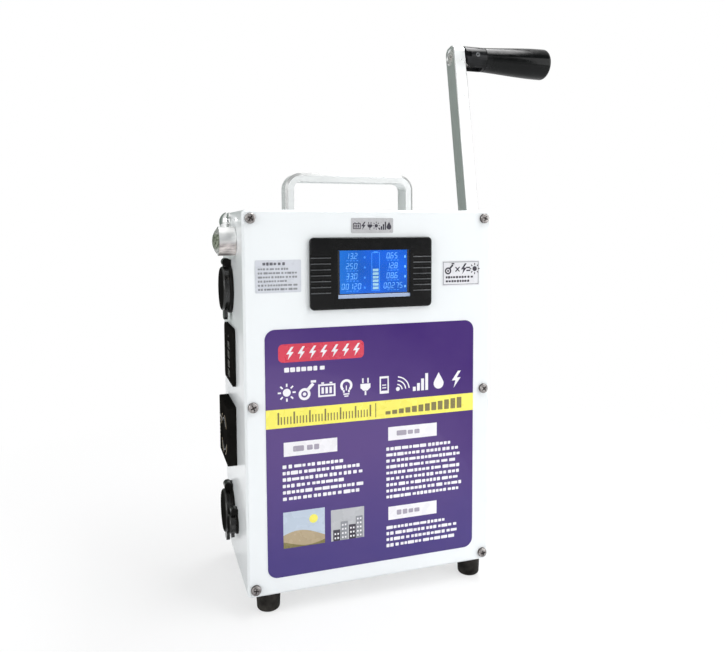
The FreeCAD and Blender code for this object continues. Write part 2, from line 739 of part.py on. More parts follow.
# ---- round sockets with flip caps ----
def flip_socket(c, flange_r, flange_t, barrel_r, bore_r, depth, cap_r, cap_t, hinge_r, tab, plug_deep, name):
    y, z = c
    face = x_left - flange_t
    body = cyl_x(face, x_left, y, z, flange_r)
    body = body.makeFillet(flange_t * 0.45, edges_at(body, lambda bb: on_plane(bb, "X", face)))
    body = body.fuse(cyl_x(x_left - 0.5, x_left + depth, y, z, barrel_r))
    body = body.cut(cyl_x(face - 1, x_left + depth - socket_back, y, z, bore_r))
    # the hinge just clears the cap, and the flange is notched for its knuckle
    hz = z + cap_r + hinge_r + hinge_clear
    hx = face - hinge_r * 0.35
    knuckle = hinge_r * 1.3
    lug_w = hinge_r * 0.9
    for s in (-1, 1):
        y0 = y + s * (knuckle / 2 + 0.1)
        y1 = y + s * (knuckle / 2 + 0.1 + lug_w)
        lug = cyl_y(min(y0, y1), max(y0, y1), hx, hz, hinge_r)
        lug = lug.fuse(box(hx, x_left, min(y0, y1), max(y0, y1), z + cap_r + 0.3, hz + hinge_r * 0.6))
        lug = lug.fuse(box(face, x_left, min(y0, y1), max(y0, y1), z + flange_r * 0.8, hz))
        body = body.fuse(lug)
    body = body.cut(cyl_y(y - knuckle / 2 - 0.1, y + knuckle / 2 + 0.1, hx, hz, hinge_r + 0.1))
    body = body.cut(cyl_y(y - 20, y + 20, hx, hz, hinge_r * 0.35))
    in0 = face - seat_gap
    capx = in0 - cap_t
    cap = cyl_x(capx, in0, y, z, cap_r)
    cap = cap.makeFillet(cap_t * 0.42, edges_at(cap, lambda bb: on_plane(bb, "X", capx)))
    cap = cap.fuse(cyl_x(in0 - 0.5, in0 + plug_deep, y, z, bore_r - 0.7))
    neck = box(in0 - min(cap_t * 0.75, hinge_r), in0 - 0.1, y - knuckle / 2, y + knuckle / 2,
               z + cap_r * 0.8, hz - hinge_r * 0.2)
    cap = cap.fuse(neck).fuse(cyl_y(y - knuckle / 2, y + knuckle / 2, hx, hz, hinge_r * 0.98))
    cap = cap.cut(cyl_y(y - 20, y + 20, hx, hz, hinge_r * 0.35 + run_fit))
    tab_w = cap_r * 0.32
    pull = box(in0 - cap_t * 0.6, in0 - cap_t * 0.1, y - tab_w, y + tab_w, z - cap_r - tab, z - cap_r * 0.85)
    pull = pull.makeFillet(tab_w * 0.6, edges_along(pull, V(1, 0, 0), lambda p: p.z < z - cap_r))
    cap = cap.fuse(pull)
    pin = cyl_y(y - knuckle / 2 - 0.1 - lug_w, y + knuckle / 2 + 0.1 + lug_w, hx, hz, hinge_r * 0.35)
    save(name + "_body", body.fuse(pin))
    save(name + "_cap", cap)
    return hx, hz


socket_nuts = []
socket_contacts = []
for c, name in ((lighter_c, "socket_upper"), (lighter2_c, "socket_lower")):
    flip_socket(c, lighter_flange_r, lighter_flange_t, lighter_barrel_r, lighter_bore_r + liner_t,
                lighter_depth, lighter_cap_r, lighter_cap_t, lighter_hinge_r, lighter_tab, lighter_plug, name)
    cy, cz = c
    nut = tube_x(x_in, x_in + 6.0, cy, cz, lighter_nut_r, lighter_barrel_r + thread_fit)
    for i in range(12):
        a = math.radians(30 * i)
        grip_y = cy + lighter_nut_r * math.cos(a) * 1.03
        grip_z = cz + lighter_nut_r * math.sin(a) * 1.03
        nut = nut.cut(cyl_x(x_in - 1, x_in + 7, grip_y, grip_z, 1.5))
    socket_nuts.append(nut)
    liner_x0 = x_left + 1.0
    liner_x1 = x_left + lighter_depth - socket_back - contact_h - seat_gap
    liner = tube_x(liner_x0, liner_x1, cy, cz, lighter_bore_r + liner_t, lighter_bore_r)
    stud_x1 = x_left + lighter_depth - socket_back
    stud = cyl_x(stud_x1 - contact_h, stud_x1, cy, cz, 4.0)
    stud = stud.makeFillet(1.2, edges_at(stud, lambda bb: on_plane(bb, "X", stud_x1 - contact_h)))
    socket_contacts.append(liner)
    socket_contacts.append(stud)
save("socket_nuts", Part.makeCompound(socket_nuts))
save("socket_contacts", Part.makeCompound(socket_contacts))

flip_socket(jack_c, jack_flange_r, jack_flange_t, m12_r, jack_bore_r, jack_depth, jack_cap_r, jack_cap_t,
            jack_hinge_r, jack_tab, jack_plug, "jack")
jy, jz = jack_c
jack_pin = cyl_x(x_left + 1.5, x_left + jack_depth - socket_back, jy, jz, jack_pin_r)
jack_pin = jack_pin.makeFillet(0.5, edges_at(jack_pin, lambda bb: on_plane(bb, "X", x_left + 1.5)))
save("jack_pin", jack_pin)

# ---- charge plate: face with four slots, and a board that carries four port shells ----
uy, uz = tray_c
usb_corner_r = 4.0
usb_face = x_left - usb_t


def side_block(c, w, h, xa, xb):
    """Block along X on the left wall, centred on c."""
    return box(xa, xb, c[0] - w / 2, c[0] + w / 2, c[1] - h / 2, c[1] + h / 2)


plate = side_block(usb_c, usb_w, usb_h, usb_face, x_left)
plate = plate.makeFillet(usb_corner_r, edges_along(plate, V(1, 0, 0)))
plate = plate.makeFillet(0.6, edges_at(plate, lambda bb: on_plane(bb, "X", usb_face)))
tray = side_block(tray_c, usb_body_w, tray_h, x_left, x_left + usb_body_deep)
tray = tray.cut(side_block(tray_c, usb_body_w - 2 * tray_wall, tray_h - 2 * tray_wall, x_left,
                           x_left + usb_body_deep + 1))
plate = plate.fuse(tray)
for port in ports:
    plate = plate.cut(side_block(port, port_cut_w, port_cut_h, usb_face - 1, x_left + 0.01))
plate = plate.cut(cyl_x(usb_face - 1, x_left + 1, uy, led_z, led_r + 0.05))
save("charge_plate", plate)
ub_x = x_left + 10.0
ub_back = ub_x + board_t
shell_t = 0.35
tongue_w = 11.0
uboard = side_block(tray_c, usb_body_w - 2 * tray_wall - 0.4, tray_h - 2 * tray_wall - 0.4, ub_x, ub_back)
uboard = uboard.fuse(cyl_x(usb_face + 0.2, ub_x + 0.1, uy, led_z, led_r))
uboard = uboard.fuse(side_block((uy - 9, uz - 4), 10, 10, ub_back - 0.1, ub_back + 6))
uboard = uboard.fuse(side_block((uy + 8, uz + 5), 12, 8, ub_back - 0.1, ub_back + 4))
for port in ports:
    sleeve = side_block(port, port_w, port_h, usb_face + 0.3, ub_x + 0.1)
    hollow = side_block(port, port_w - 2 * shell_t, port_h - 2 * shell_t, usb_face - 1, ub_x - 0.5)
    sleeve = sleeve.cut(hollow)
    blade = side_block((port[0], port[1] + 1.25), tongue_w, 1.7, x_left + 0.4, ub_x + 0.1)
    uboard = uboard.fuse(blade).fuse(sleeve)
save("charge_ports", uboard)

# ---- mains outlet: raised face with a five-hole socket and a rocker switch ----
ay, az = ac_c
ac_face = x_left - ac_proud
ac_wall = 1.8
ac_back = x_left + ac_body_deep
ac = side_block(ac_c, ac_w, ac_h, ac_face, x_left)
ac = ac.makeFillet(0.8, [e for e in ac.Edges if e.BoundBox.XMin < x_left - 0.01])
ac = ac.fuse(side_block(ac_c, ac_body, ac_body, x_left - 0.5, ac_back))
face_in = ac_face + ac_face_t
ac = ac.cut(side_block(ac_c, ac_body - 2 * ac_wall, ac_body - 2 * ac_wall, face_in, ac_back - ac_wall))
# five slots: two upright ones above, two leaning ones and an earth slot below
slot_thick = 1.9
flat_pin_y = 6.35
flat_pin_up = 10.5
flat_pin_h = 7.2
lean_pin_y = 7.0
lean_pin_down = 5.0
lean_pin_h = 8.0
lean_pin_turn = 30.0
earth_down = 14.0
sock_y = ay - 5.5
hole_specs = [(sock_y, az - earth_down, lean_pin_h, 0.0)]
for sgn in (-1, 1):
    hole_specs.append((sock_y + sgn * flat_pin_y, az + flat_pin_up, flat_pin_h, 0.0))
    hole_specs.append((sock_y + sgn * lean_pin_y, az - lean_pin_down, lean_pin_h, -sgn * lean_pin_turn))
leaf_t = 0.7
leaf_h = 5.2
leaf_back = face_in + 11.0
clips = []
for hy, hz, hh, turn in hole_specs:
    hole = side_block((hy, hz), slot_thick, hh, ac_face - 1, face_in + 0.01)
    hole.rotate(V(0, hy, hz), V(1, 0, 0), turn)
    ac = ac.cut(hole)
    leaf_y = slot_thick / 2 + 0.1 + leaf_t / 2
    clip = side_block((hy, hz), 2 * leaf_y + leaf_t, leaf_h, leaf_back - 0.8, leaf_back)
    for side in (-1, 1):
        clip = clip.fuse(side_block((hy + side * leaf_y, hz), leaf_t, leaf_h, face_in + 0.4, leaf_back))
    clip.rotate(V(0, hy, hz), V(1, 0, 0), turn)
    clips.append(clip)
back_y0 = ay - ac_body / 2 + ac_wall
half_in = ac_body / 2 - ac_wall
ac = ac.fuse(box(leaf_back, leaf_back + 3.0, back_y0, sock_y + 10.5, az - half_in, az + half_in))
rk_y = ay + rocker_dy
rk_c = (rk_y, az)
piv_x = ac_face + rocker_sink
rocker_pin_r = 1.5
cheek_w = 1.2
cheek_h = 16.0
ac = ac.cut(side_block(rk_c, rocker_w + 2 * run_fit, 2 * (rocker_r + run_fit), ac_face - 1, face_in + 0.01))
for side in (-1, 1):
    cheek_c = (rk_y + side * (rocker_w / 2 + run_fit + cheek_w / 2), az)
    ac = ac.fuse(side_block(cheek_c, cheek_w, cheek_h, ac_face + 1.0, ac_face + 7.0))
ac = ac.cut(cyl_y(rk_y - rocker_w / 2 - 0.9, rk_y + rocker_w / 2 + 0.9, piv_x, az, rocker_pin_r + run_fit))
save("ac_outlet", ac)
save("ac_contacts", Part.makeCompound(clips))
rocker_end = rocker_r * 0.9
prof = [(-2.4, 0.0), (-3.6, rocker_end), (2.6, rocker_end), (2.6, -rocker_end), (-3.6, -rocker_end)]
pts = [V(piv_x + a, rk_y - rocker_w / 2, az + b) for a, b in prof]
pts.append(pts[0])
rocker = Part.Face(Part.makePolygon(pts)).extrude(V(0, rocker_w, 0))
rocker = rocker.common(cyl_y(rk_y - rocker_w, rk_y + rocker_w, piv_x, az, rocker_r))
rocker = rocker.fuse(cyl_y(rk_y - rocker_w / 2 - 0.8, rk_y + rocker_w / 2 + 0.8, piv_x, az, rocker_pin_r))
rocker.rotate(V(piv_x, rk_y, az), V(0, 1, 0), -rocker_tilt)
save("ac_rocker", rocker)


# ---- involute gears ----
def gear_outline(teeth, x, phase):
    """Closed wire in the plane X=x about the origin, a tooth centred at angle phase from -Z."""
    pa = math.radians(pressure)
    rp = gear_m * teeth / 2
    rb = rp * math.cos(pa)
    ra = rp + gear_m
    rf = rp - 1.25 * gear_m
    inv_pa = math.tan(pa) - pa
    half_tooth = math.pi / 2 / teeth - backlash / 4 / rp

    def flank_angle(r):
        t = math.acos(min(1.0, rb / r))
        return half_tooth + inv_pa - (math.tan(t) - t)

    def point(r, a):
        return V(x, r * math.sin(a), -r * math.cos(a))

    steps = 6
    start = max(rb, rf + 0.15 * gear_m)
    radii = [start + (ra - start) * i / steps for i in range(steps + 1)]
    loop = []
    for k in range(teeth):
        mid = phase + 2 * math.pi * k / teeth
        loop.append(point(rf, mid - math.pi / teeth))
        loop.append(point(rf, mid - flank_angle(start) - 0.10 * gear_m / rp))
        for r in radii:
            loop.append(point(r, mid - flank_angle(r)))
        for r in reversed(radii):
            loop.append(point(r, mid + flank_angle(r)))
        loop.append(point(rf, mid + flank_angle(start) + 0.10 * gear_m / rp))
    loop.append(loop[0])
    return Part.makePolygon(loop)


def gear(teeth, x0, x1, c, phase=0.0):
    g = Part.Face(gear_outline(teeth, x0, phase)).extrude(V(x1 - x0, 0, 0))
    g.translate(V(0, c[0], c[1]))
    return g


gx0 = plate_x + plate_t + gear_stand
gx1 = gx0 + gear_face
wx0 = gx1 + 2.0
wx1 = wx0 + 6.0
housing_in = x_right - wall - 8.0
shaft_end = x_right + arm_gap + arm_t - 1.0
arm_x0 = x_right + arm_gap
arm_x1 = arm_x0 + arm_t
cg = gear(crank_teeth, gx0, gx1, crank_c)
cg = cg.fuse(cyl_x(gx0, housing_in - seat_gap, crank_c[0], crank_c[1], 9.5))
for i in range(6):
    a = math.radians(60 * i + 30)
    cg = cg.cut(cyl_x(gx0 - 1, gx1 + 1, crank_c[0] + 19 * math.cos(a), crank_c[1] + 19 * math.sin(a), 5.5))
cg = cg.cut(cyl_x(gx0 - 1, housing_in + 1, crank_c[0], crank_c[1], shaft_r))
save("crank_gear", cg)
ig = gear(pinion_teeth, gx0, wx0 + 0.5, idler_c)
ig = ig.fuse(gear(wheel_teeth, wx0, wx1, idler_c))
ig = ig.fuse(cyl_x(wx1 - 0.5, x_rin - seat_gap, idler_c[0], idler_c[1], 5.0))
for i in range(6):
    a = math.radians(60 * i)
    ig = ig.cut(cyl_x(wx0 + 0.6, wx1 + 1, idler_c[0] + 16 * math.cos(a), idler_c[1] + 16 * math.sin(a), 4.0))
ig = ig.cut(cyl_x(gx0 - 1, x_rin + 1, idler_c[0], idler_c[1], idler_pin_r + run_fit))
save("idler_gear", ig)

# ---- gearbox frame: plate on four pillars, with the fixed idler pin ----
plate_x1 = plate_x + plate_t
frame_rim = 7.0
frame = round_box(plate_x, plate_x1, -pillar_y - frame_rim, pillar_y + frame_rim, pillar_z_low - frame_rim,
                  pillar_z_top + frame_rim, 6.0, V(1, 0, 0))
for py, pz in pillars:
    frame = frame.fuse(cyl_x(plate_x1 - 0.5, x_rin, py, pz, 5.0))
frame = frame.fuse(cyl_x(plate_x - 6.0, gx0 - seat_gap, crank_c[0], crank_c[1], 10.0))
frame = frame.fuse(cyl_x(plate_x1 - 0.5, gx0 - seat_gap, idler_c[0], idler_c[1], 5.0))
frame = frame.fuse(cyl_x(plate_x, x_rin - 0.6, idler_c[0], idler_c[1], idler_pin_r))
frame = frame.cut(cyl_x(plate_x - 7, gx0 + 1, crank_c[0], crank_c[1], shaft_r + run_fit))
frame = frame.cut(cyl_x(plate_x - 1, plate_x1 + 1, gen_c[0], gen_c[1], 8.05))
gen_screw_ring = 19.0
gen_holes = []
for a in (90, 210, 330):
    turn = math.radians(a)
    gen_holes.append((gen_c[0] + gen_screw_ring * math.cos(turn), gen_c[1] + gen_screw_ring * math.sin(turn)))
for hy, hz in gen_holes:
    frame = frame.cut(cyl_x(plate_x - 1, plate_x1 + 1, hy, hz, screw_r + 0.1))
for py, pz in pillars:
    frame = frame.cut(cyl_x(x_rin - 13, x_rin + 1, py, pz, screw_r + thread_fit))
save("gearbox_frame", frame)
gear_screws = []
box_screw = pan_screw(screw_r, 10.0, screw_head_r, screw_head_h)
for i, (py, pz) in enumerate(pillars):
    s = box_screw.copy()
    s.rotate(V(0, 0, 0), V(0, 1, 0), 17 + 31 * i)
    s.rotate(V(0, 0, 0), V(0, 0, 1), 90)
    s.translate(V(x_right, py, pz))
    gear_screws.append(s)
for i, (hy, hz) in enumerate(gen_holes):
    s = box_screw.copy()
    s.rotate(V(0, 0, 0), V(0, 1, 0), 9 + 40 * i)
    s.rotate(V(0, 0, 0), V(0, 0, 1), 90)
    s.translate(V(plate_x1, hy, hz))
    gear_screws.append(s)
save("gearbox_screws", Part.makeCompound(gear_screws))

# ---- flanged bearing housing pressed in the right wall ----
housing = cyl_x(x_right, x_right + housing_t, crank_c[0], crank_c[1], housing_r)
housing = housing.makeFillet(0.8, edges_at(housing, lambda bb: on_plane(bb, "X", x_right + housing_t)))
housing = housing.fuse(cyl_x(housing_in, x_right + 0.5, crank_c[0], crank_c[1], housing_barrel_r))
housing_out = x_right + housing_t + 1
housing = housing.cut(cyl_x(housing_in - 1, housing_out, crank_c[0], crank_c[1], shaft_r + run_fit))
save("crank_housing", housing)

# ---- crank shaft with a square end, arm and hub screw ----
shaft = cyl_x(plate_x - 5.0, arm_x0, crank_c[0], crank_c[1], shaft_r)
shaft = shaft.fuse(cyl_x(x_right + housing_t + seat_gap, arm_x0, crank_c[0], crank_c[1], 9.0))
sq = box(arm_x0 - 0.5, shaft_end, -square / 2, square / 2, crank_c[1] - square / 2, crank_c[1] + square / 2)
sq = sq.common(cyl_x(arm_x0 - 1, shaft_end, crank_c[0], crank_c[1], square * 0.66))
sq.rotate(V(0, 0, crank_c[1]), V(1, 0, 0), -arm_lean)
shaft = shaft.fuse(sq)
hub_screw_r = 2.45
shaft = shaft.cut(cyl_x(shaft_end - 16, shaft_end + 1, crank_c[0], crank_c[1], hub_screw_r + thread_fit))
save("crank_shaft", shaft)

tip_z = crank_c[1] + arm_len
arm = box(arm_x0, arm_x1, -arm_w / 2, arm_w / 2, crank_c[1], tip_z + arm_past)
arm = arm.makeFillet(arm_end_r, edges_along(arm, V(1, 0, 0), lambda p: p.z > tip_z))
arm = arm.fuse(cyl_x(arm_x0, arm_x1, 0, crank_c[1], arm_hub_r)).removeSplitter()
arm = arm.makeChamfer(0.6, edges_at(arm, lambda bb: on_plane(bb, "X", arm_x0) or on_plane(bb, "X", arm_x1)))
sq_h = square / 2 + 0.04
sq_hole = box(arm_x0 - 1, arm_x1 + 1, -sq_h, sq_h, crank_c[1] - sq_h, crank_c[1] + sq_h)
arm = arm.cut(sq_hole.common(cyl_x(arm_x0 - 1, arm_x1 + 1, 0, crank_c[1], square * 0.66 + 0.04)))
csk_r = 6.7
csk_clear = 0.1
stud_sink = 0.8
stud_screw_r = 3.0
csk_end = arm_x0 + csk_r - stud_screw_r
arm = arm.cut(cone_x(arm_x0 - 0.001, csk_end, 0, tip_z, csk_r + csk_clear, stud_screw_r + csk_clear))
arm = arm.cut(cyl_x(arm_x0 - 1, arm_x1 + 1, 0, tip_z, stud_screw_r + csk_clear))
tongue_seat = 1.5
seat_y = tongue_t / 2 + thread_fit
seat_z = tongue_r + thread_fit
arm = arm.cut(box(arm_x1 - tongue_seat, arm_x1 + 1, -seat_y, seat_y, tip_z - seat_z, tip_z + seat_z))
hub_screw = cyl_x(shaft_end - 14, arm_x1 + 1.4, crank_c[0], crank_c[1], hub_screw_r)
hub_screw = hub_screw.fuse(cyl_x(arm_x1, arm_x1 + 1.4, crank_c[0], crank_c[1], 8.0))
hub_head = cyl_x(arm_x1 + 1.3, arm_x1 + 5.4, crank_c[0], crank_c[1], 5.0)
hub_head = hub_head.makeFillet(0.8, edges_at(hub_head, lambda bb: on_plane(bb, "X", arm_x1 + 5.4)))
hub_screw = hub_screw.fuse(hub_head).cut(hex_x(arm_x1 + 2.8, arm_x1 + 6, crank_c[0], crank_c[1], 5.0))

# ---- folding grip: tongue on the arm, forked collar on a cross pin, sleeve turning on its spindle ----
pin_x = arm_x1 + pin_out
tongue = box(arm_x1 - tongue_seat, pin_x, -tongue_t / 2, tongue_t / 2, tip_z - tongue_r, tip_z + tongue_r)
tongue = tongue.fuse(cyl_y(-tongue_t / 2, tongue_t / 2, pin_x, tip_z, tongue_r))
tongue = tongue.cut(cyl_y(-20, 20, pin_x, tip_z, pin_r + run_fit))
stud_end = pin_x - pin_r - 1.2
tongue = tongue.cut(cyl_x(arm_x1 - 3, stud_end + 0.6, 0, tip_z, stud_screw_r + thread_fit))
stud_screw = cone_x(arm_x0 + stud_sink, csk_end, 0, tip_z, csk_r - stud_sink, stud_screw_r)
stud_screw = stud_screw.fuse(cyl_x(arm_x0 + 1, stud_end, 0, tip_z, stud_screw_r))
stud_screw = stud_screw.cut(hex_x(arm_x0, arm_x0 + stud_sink + 3.0, 0, tip_z, 5.0))
collar_x0 = arm_x1 + 0.4
collar_x1 = arm_x1 + collar_len
collar = cyl_x(collar_x0, collar_x1, 0, tip_z, collar_r)
# the corner that swings past the arm is round about the pin, the one above it stays square
swing = cyl_y(-30, 30, pin_x, tip_z, pin_out - 0.4)
swing = swing.fuse(box(pin_x, collar_x1 + 1, -30, 30, tip_z - 30, tip_z + 30))
swing = swing.fuse(box(collar_x0, collar_x1, -30, 30, tip_z, tip_z + 30))
collar = collar.common(swing)
fork_y = tongue_t / 2 + run_fit
collar = collar.cut(box(arm_x1 - 5, pin_x + tongue_r + 0.4, -fork_y, fork_y, tip_z - 30, tip_z + 30))
for side in (-1, 1):
    y0 = side * (collar_r - notch_deep / 2) - notch_deep / 2
    collar = collar.cut(box(collar_x0 - 1, arm_x1 + notch_len, y0, y0 + notch_deep,
                            tip_z - notch_h / 2, tip_z + notch_h / 2))
collar = collar.fuse(cyl_x(collar_x1 - 0.5, collar_x1 + neck_len, 0, tip_z, neck_r))
spindle_thread = 6.0
collar = collar.cut(cyl_x(collar_x1 + neck_len - spindle_thread - 2, collar_x1 + neck_len + 1, 0, tip_z,
                          spindle_r + thread_fit))
collar = collar.cut(cyl_y(-20, 20, pin_x, tip_z, pin_r))
pin = cyl_y(-collar_r + 0.25, collar_r - 0.25, pin_x, tip_z, pin_r)
pin = pin.cut(cyl_y(-20, 20, pin_x, tip_z, pin_bore_r))
grip_x0 = collar_x1 + seat_gap
grip_x1 = grip_x0 + grip_len
recess = 10.0
spindle_head = grip_x1 - recess + 0.2
spindle = cyl_x(collar_x1 + neck_len - spindle_thread, spindle_head, 0, tip_z, spindle_r)
spindle = spindle.fuse(cyl_x(spindle_head, spindle_head + 4.0, 0, tip_z, 7.0))
spindle = spindle.cut(box(grip_x1 - recess + 3.0, grip_x1, -8, 8, tip_z - 0.6, tip_z + 0.6))
span = grip_x1 - grip_x0


lip_x = grip_x0 + 0.4
end_x = grip_x1 - 3.4
end_flat_r = grip_end_r - 4.0


def grip_form(less):
    """Turned outline of the grip, taken in by less all along its side."""
    def on_grip(x, r):
        return V(x, 0, tip_z + r)

    side = Part.BSplineCurve()
    side.interpolate([on_grip(lip_x, collar_r - less),
                      on_grip(grip_x0 + span * 0.30, collar_r + 1.1 - less),
                      on_grip(grip_x0 + span * 0.65, grip_end_r - 0.5 - less),
                      on_grip(end_x, grip_end_r - less)])
    shoulder = on_grip(grip_x1 - 0.9, grip_end_r - 1.2 - less)
    arc = Part.Arc(on_grip(end_x, grip_end_r - less), shoulder, on_grip(grip_x1, end_flat_r))
    inner = Part.makePolygon([on_grip(grip_x1, end_flat_r), on_grip(grip_x1, 0), on_grip(grip_x0, 0),
                              on_grip(grip_x0, collar_r - 0.4 - less), on_grip(lip_x, collar_r - less)])
    wire = Part.Wire([side.toShape(), arc.toShape()] + inner.Edges)
    return Part.Face(wire).revolve(V(0, 0, tip_z), V(1, 0, 0), 360)


# two mould lines run along the grip's upper side, and the strip between them stops short of its end
grip = grip_form(0)
grip_core = grip_form(seam_deep)
for side in (-1, 1):
    line = box(grip_x0 - 1, grip_x1 + 1, 0, 30, tip_z - seam_w / 2, tip_z + seam_w / 2)
    line.rotate(V(0, 0, tip_z), V(1, 0, 0), 90 - side * (90 - seam_angle))
    grip = grip.cut(line.cut(grip_core))
strip_z = tip_z + grip_end_r * math.sin(math.radians(seam_angle))
grip = grip.cut(box(grip_x1 - seam_end, grip_x1 + 1, -30, 30, strip_z, tip_z + 30))
grip = grip.cut(cyl_x(grip_x0 - 1, grip_x0 + neck_len + 0.3, 0, tip_z, neck_r + 0.1))
grip = grip.cut(cyl_x(grip_x0, grip_x1 + 1, 0, tip_z, spindle_r + run_fit))
grip = grip.cut(cyl_x(grip_x1 - recess, grip_x1 + 1, 0, tip_z, 7.4))

# the arm leans back from upright at rest, and all that it carries leans with it
for name, shape in (("crank_arm", arm), ("hub_screw", hub_screw), ("grip_tongue", tongue),
                    ("tongue_screw", stud_screw), ("grip_collar", collar), ("fold_pin", pin),
                    ("grip_spindle", spindle), ("grip_sleeve", grip)):
    leaned = shape.copy()
    leaned.rotate(V(0, 0, crank_c[1]), V(1, 0, 0), -arm_lean)
    save(name, leaned)

# ---- generator: case, rotor with shaft, brass pinion ----
gen_x1 = plate_x
gen_x0 = gen_x1 - gen_len
gy, gz = gen_c
gen = cyl_x(gen_x0, gen_x1, gy, gz, gen_r)
gen = gen.makeFillet(2.0, edges_at(gen, lambda bb: on_plane(bb, "X", gen_x0)))
gen = gen.cut(cyl_x(gen_x0 + 4, gen_x1 - 8, gy, gz, gen_r - gen_shell))
gen = gen.fuse(cyl_x(gen_x1 - 0.5, gen_x1 + plate_t, gy, gz, 8.0))
gen = gen.fuse(cyl_x(gen_x0 - 5, gen_x0 + 0.5, gy, gz, 8.0))
gen = gen.cut(cyl_x(gen_x0 - 4, gen_x1 + plate_t + 1, gy, gz, rotor_shaft_r + run_fit))
for hy, hz in gen_holes:
    gen = gen.cut(cyl_x(gen_x1 - 7.2, gen_x1 + 0.001, hy, hz, screw_r + thread_fit))
save("generator_case", gen)
magnets = []
for s in (-1, 1):
    ring = tube_x(gen_x0 + 8, gen_x1 - 12, gy, gz, gen_r - gen_shell, rotor_drum_r + 0.8)
    z0 = min(gz, gz + s * 40)
    magnets.append(ring.common(box(gen_x0, gen_x1, gy - 17, gy + 17, z0, z0 + 40)))
save("generator_magnets", Part.makeCompound(magnets))
rotor = cyl_x(gen_x0 - 3.5, gx1 + 11.0, gy, gz, rotor_shaft_r)
drum = cyl_x(gen_x0 + 12, gen_x1 - 16, gy, gz, rotor_drum_r)
for i in range(12):
    winding_slot = box(gen_x0, gen_x1, gy + 12.5, gy + 22, gz - 1.4, gz + 1.4)
    drum = drum.cut(winding_slot.rotated(V(0, gy, gz), V(1, 0, 0), 30 * i))
rotor = rotor.fuse(drum)
rotor = rotor.fuse(cyl_x(gen_x0 + 6, gen_x0 + 12.5, gy, gz, 7.0))
save("generator_rotor", rotor)
rp_phase = math.pi / rotor_teeth
rpin = gear(rotor_teeth, wx0 - 1.0, wx1 + 1.0, gen_c, rp_phase)
rpin = rpin.cut(cyl_x(wx0 - 2, wx1 + 2, gy, gz, rotor_shaft_r))
save("generator_pinion", rpin)

# ---- battery: cells lying front to back between two holders ----
cells = []
holder_w = (cell_cols - 1) * cell_pitch + 2 * cell_r + 2 * holder_rim
cell_x0 = x_rin - cell_gap_right - cell_r - (cell_cols - 1) * cell_pitch
z_floor = z_box + wall
cell_z0 = z_floor + holder_rim + cell_r
hx0 = cell_x0 - cell_r - holder_rim
hz1 = cell_z0 + (cell_rows - 1) * cell_pitch + cell_r + holder_rim
holders = []
for s in (-1, 1):
    ya = s * (cell_len / 2 + holder_floor)
    yb = s * (cell_len / 2 + holder_floor - holder_deep - 2.0)
    holders.append(box(hx0, hx0 + holder_w, min(ya, yb), max(ya, yb), z_floor, hz1))
for i in range(cell_cols):
    for j in range(cell_rows):
        cx = cell_x0 + i * cell_pitch
        cz = cell_z0 + j * cell_pitch
        cells.append(cyl_y(-cell_len / 2, cell_len / 2, cx, cz, cell_r))
        for k in (0, 1):
            holders[k] = holders[k].cut(cyl_y(-cell_len / 2, cell_len / 2, cx, cz, cell_r + run_fit))
            holders[k] = holders[k].cut(cyl_y(-60, 60, cx, cz, cell_r - 3.0))
save("battery_cells", Part.makeCompound(cells))
save("battery_holders", Part.makeCompound(holders))


# ---- circuit boards on the rear cover studs ----
def board(spec):
    b = box(spec[0], spec[1], stud_y - board_t, stud_y, spec[2], spec[3])
    for sx, sz in studs:
        b = b.cut(cyl_y(stud_y - board_t - 1, stud_y + 1, sx, sz, stud_tip_r + thread_fit))
    return b


face_y = stud_y - board_t


def block_on(spec, right, up, w, h, tall, lift=0.0):
    """Block on a board, placed from the board's lower left corner; lift starts it off the board."""
    x0 = spec[0] + right
    z0 = spec[2] + up
    return box(x0, x0 + w, face_y - lift - tall, face_y - lift + 0.1, z0, z0 + h)


def can_on(spec, right, up, r, tall):
    return cyl_y(face_y - tall, face_y + 0.1, spec[0] + right, spec[2] + up, r)


core_tall = 26.0
inv = board(inv_board)
inv = inv.fuse(block_on(inv_board, 42, 8, 34, 28, core_tall))
inv = inv.fuse(block_on(inv_board, 46, 12, 26, 20, 3, core_tall))
for i in range(3):
    inv = inv.fuse(can_on(inv_board, 86, 10 + i * 14, 6.5, 20))
    inv = inv.fuse(block_on(inv_board, 30, 8 + i * 17, 4, 11, 14))
inv = inv.fuse(can_on(inv_board, 101, 31, 6.0, 16))
sink_base = 4.0
fin_pitch = 3.2
fin_t = 1.4
inv = inv.fuse(block_on(inv_board, 12, 4, 17.9, inv_h - 8, sink_base))
for i in range(6):
    inv = inv.fuse(block_on(inv_board, 12 + i * fin_pitch, 4, fin_t, inv_h - 8, 18, sink_base))
save("inverter_board", inv)
chg = board(chg_board)
chg = chg.fuse(block_on(chg_board, 14, 12, 20, 20, 9))
chg = chg.fuse(can_on(chg_board, 56, 22, 9.0, 8))
chg = chg.fuse(can_on(chg_board, 76, 20, 5.0, 9))
chg = chg.fuse(can_on(chg_board, 76, 34, 5.0, 9))
chg = chg.fuse(block_on(chg_board, 20, 62, 52, 8, 6))
chg = chg.fuse(block_on(chg_board, 40, 42, 14, 14, 1.8))
save("charge_board", chg)
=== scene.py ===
import math
import random

import bmesh
import bpy
from mathutils import Matrix, Vector


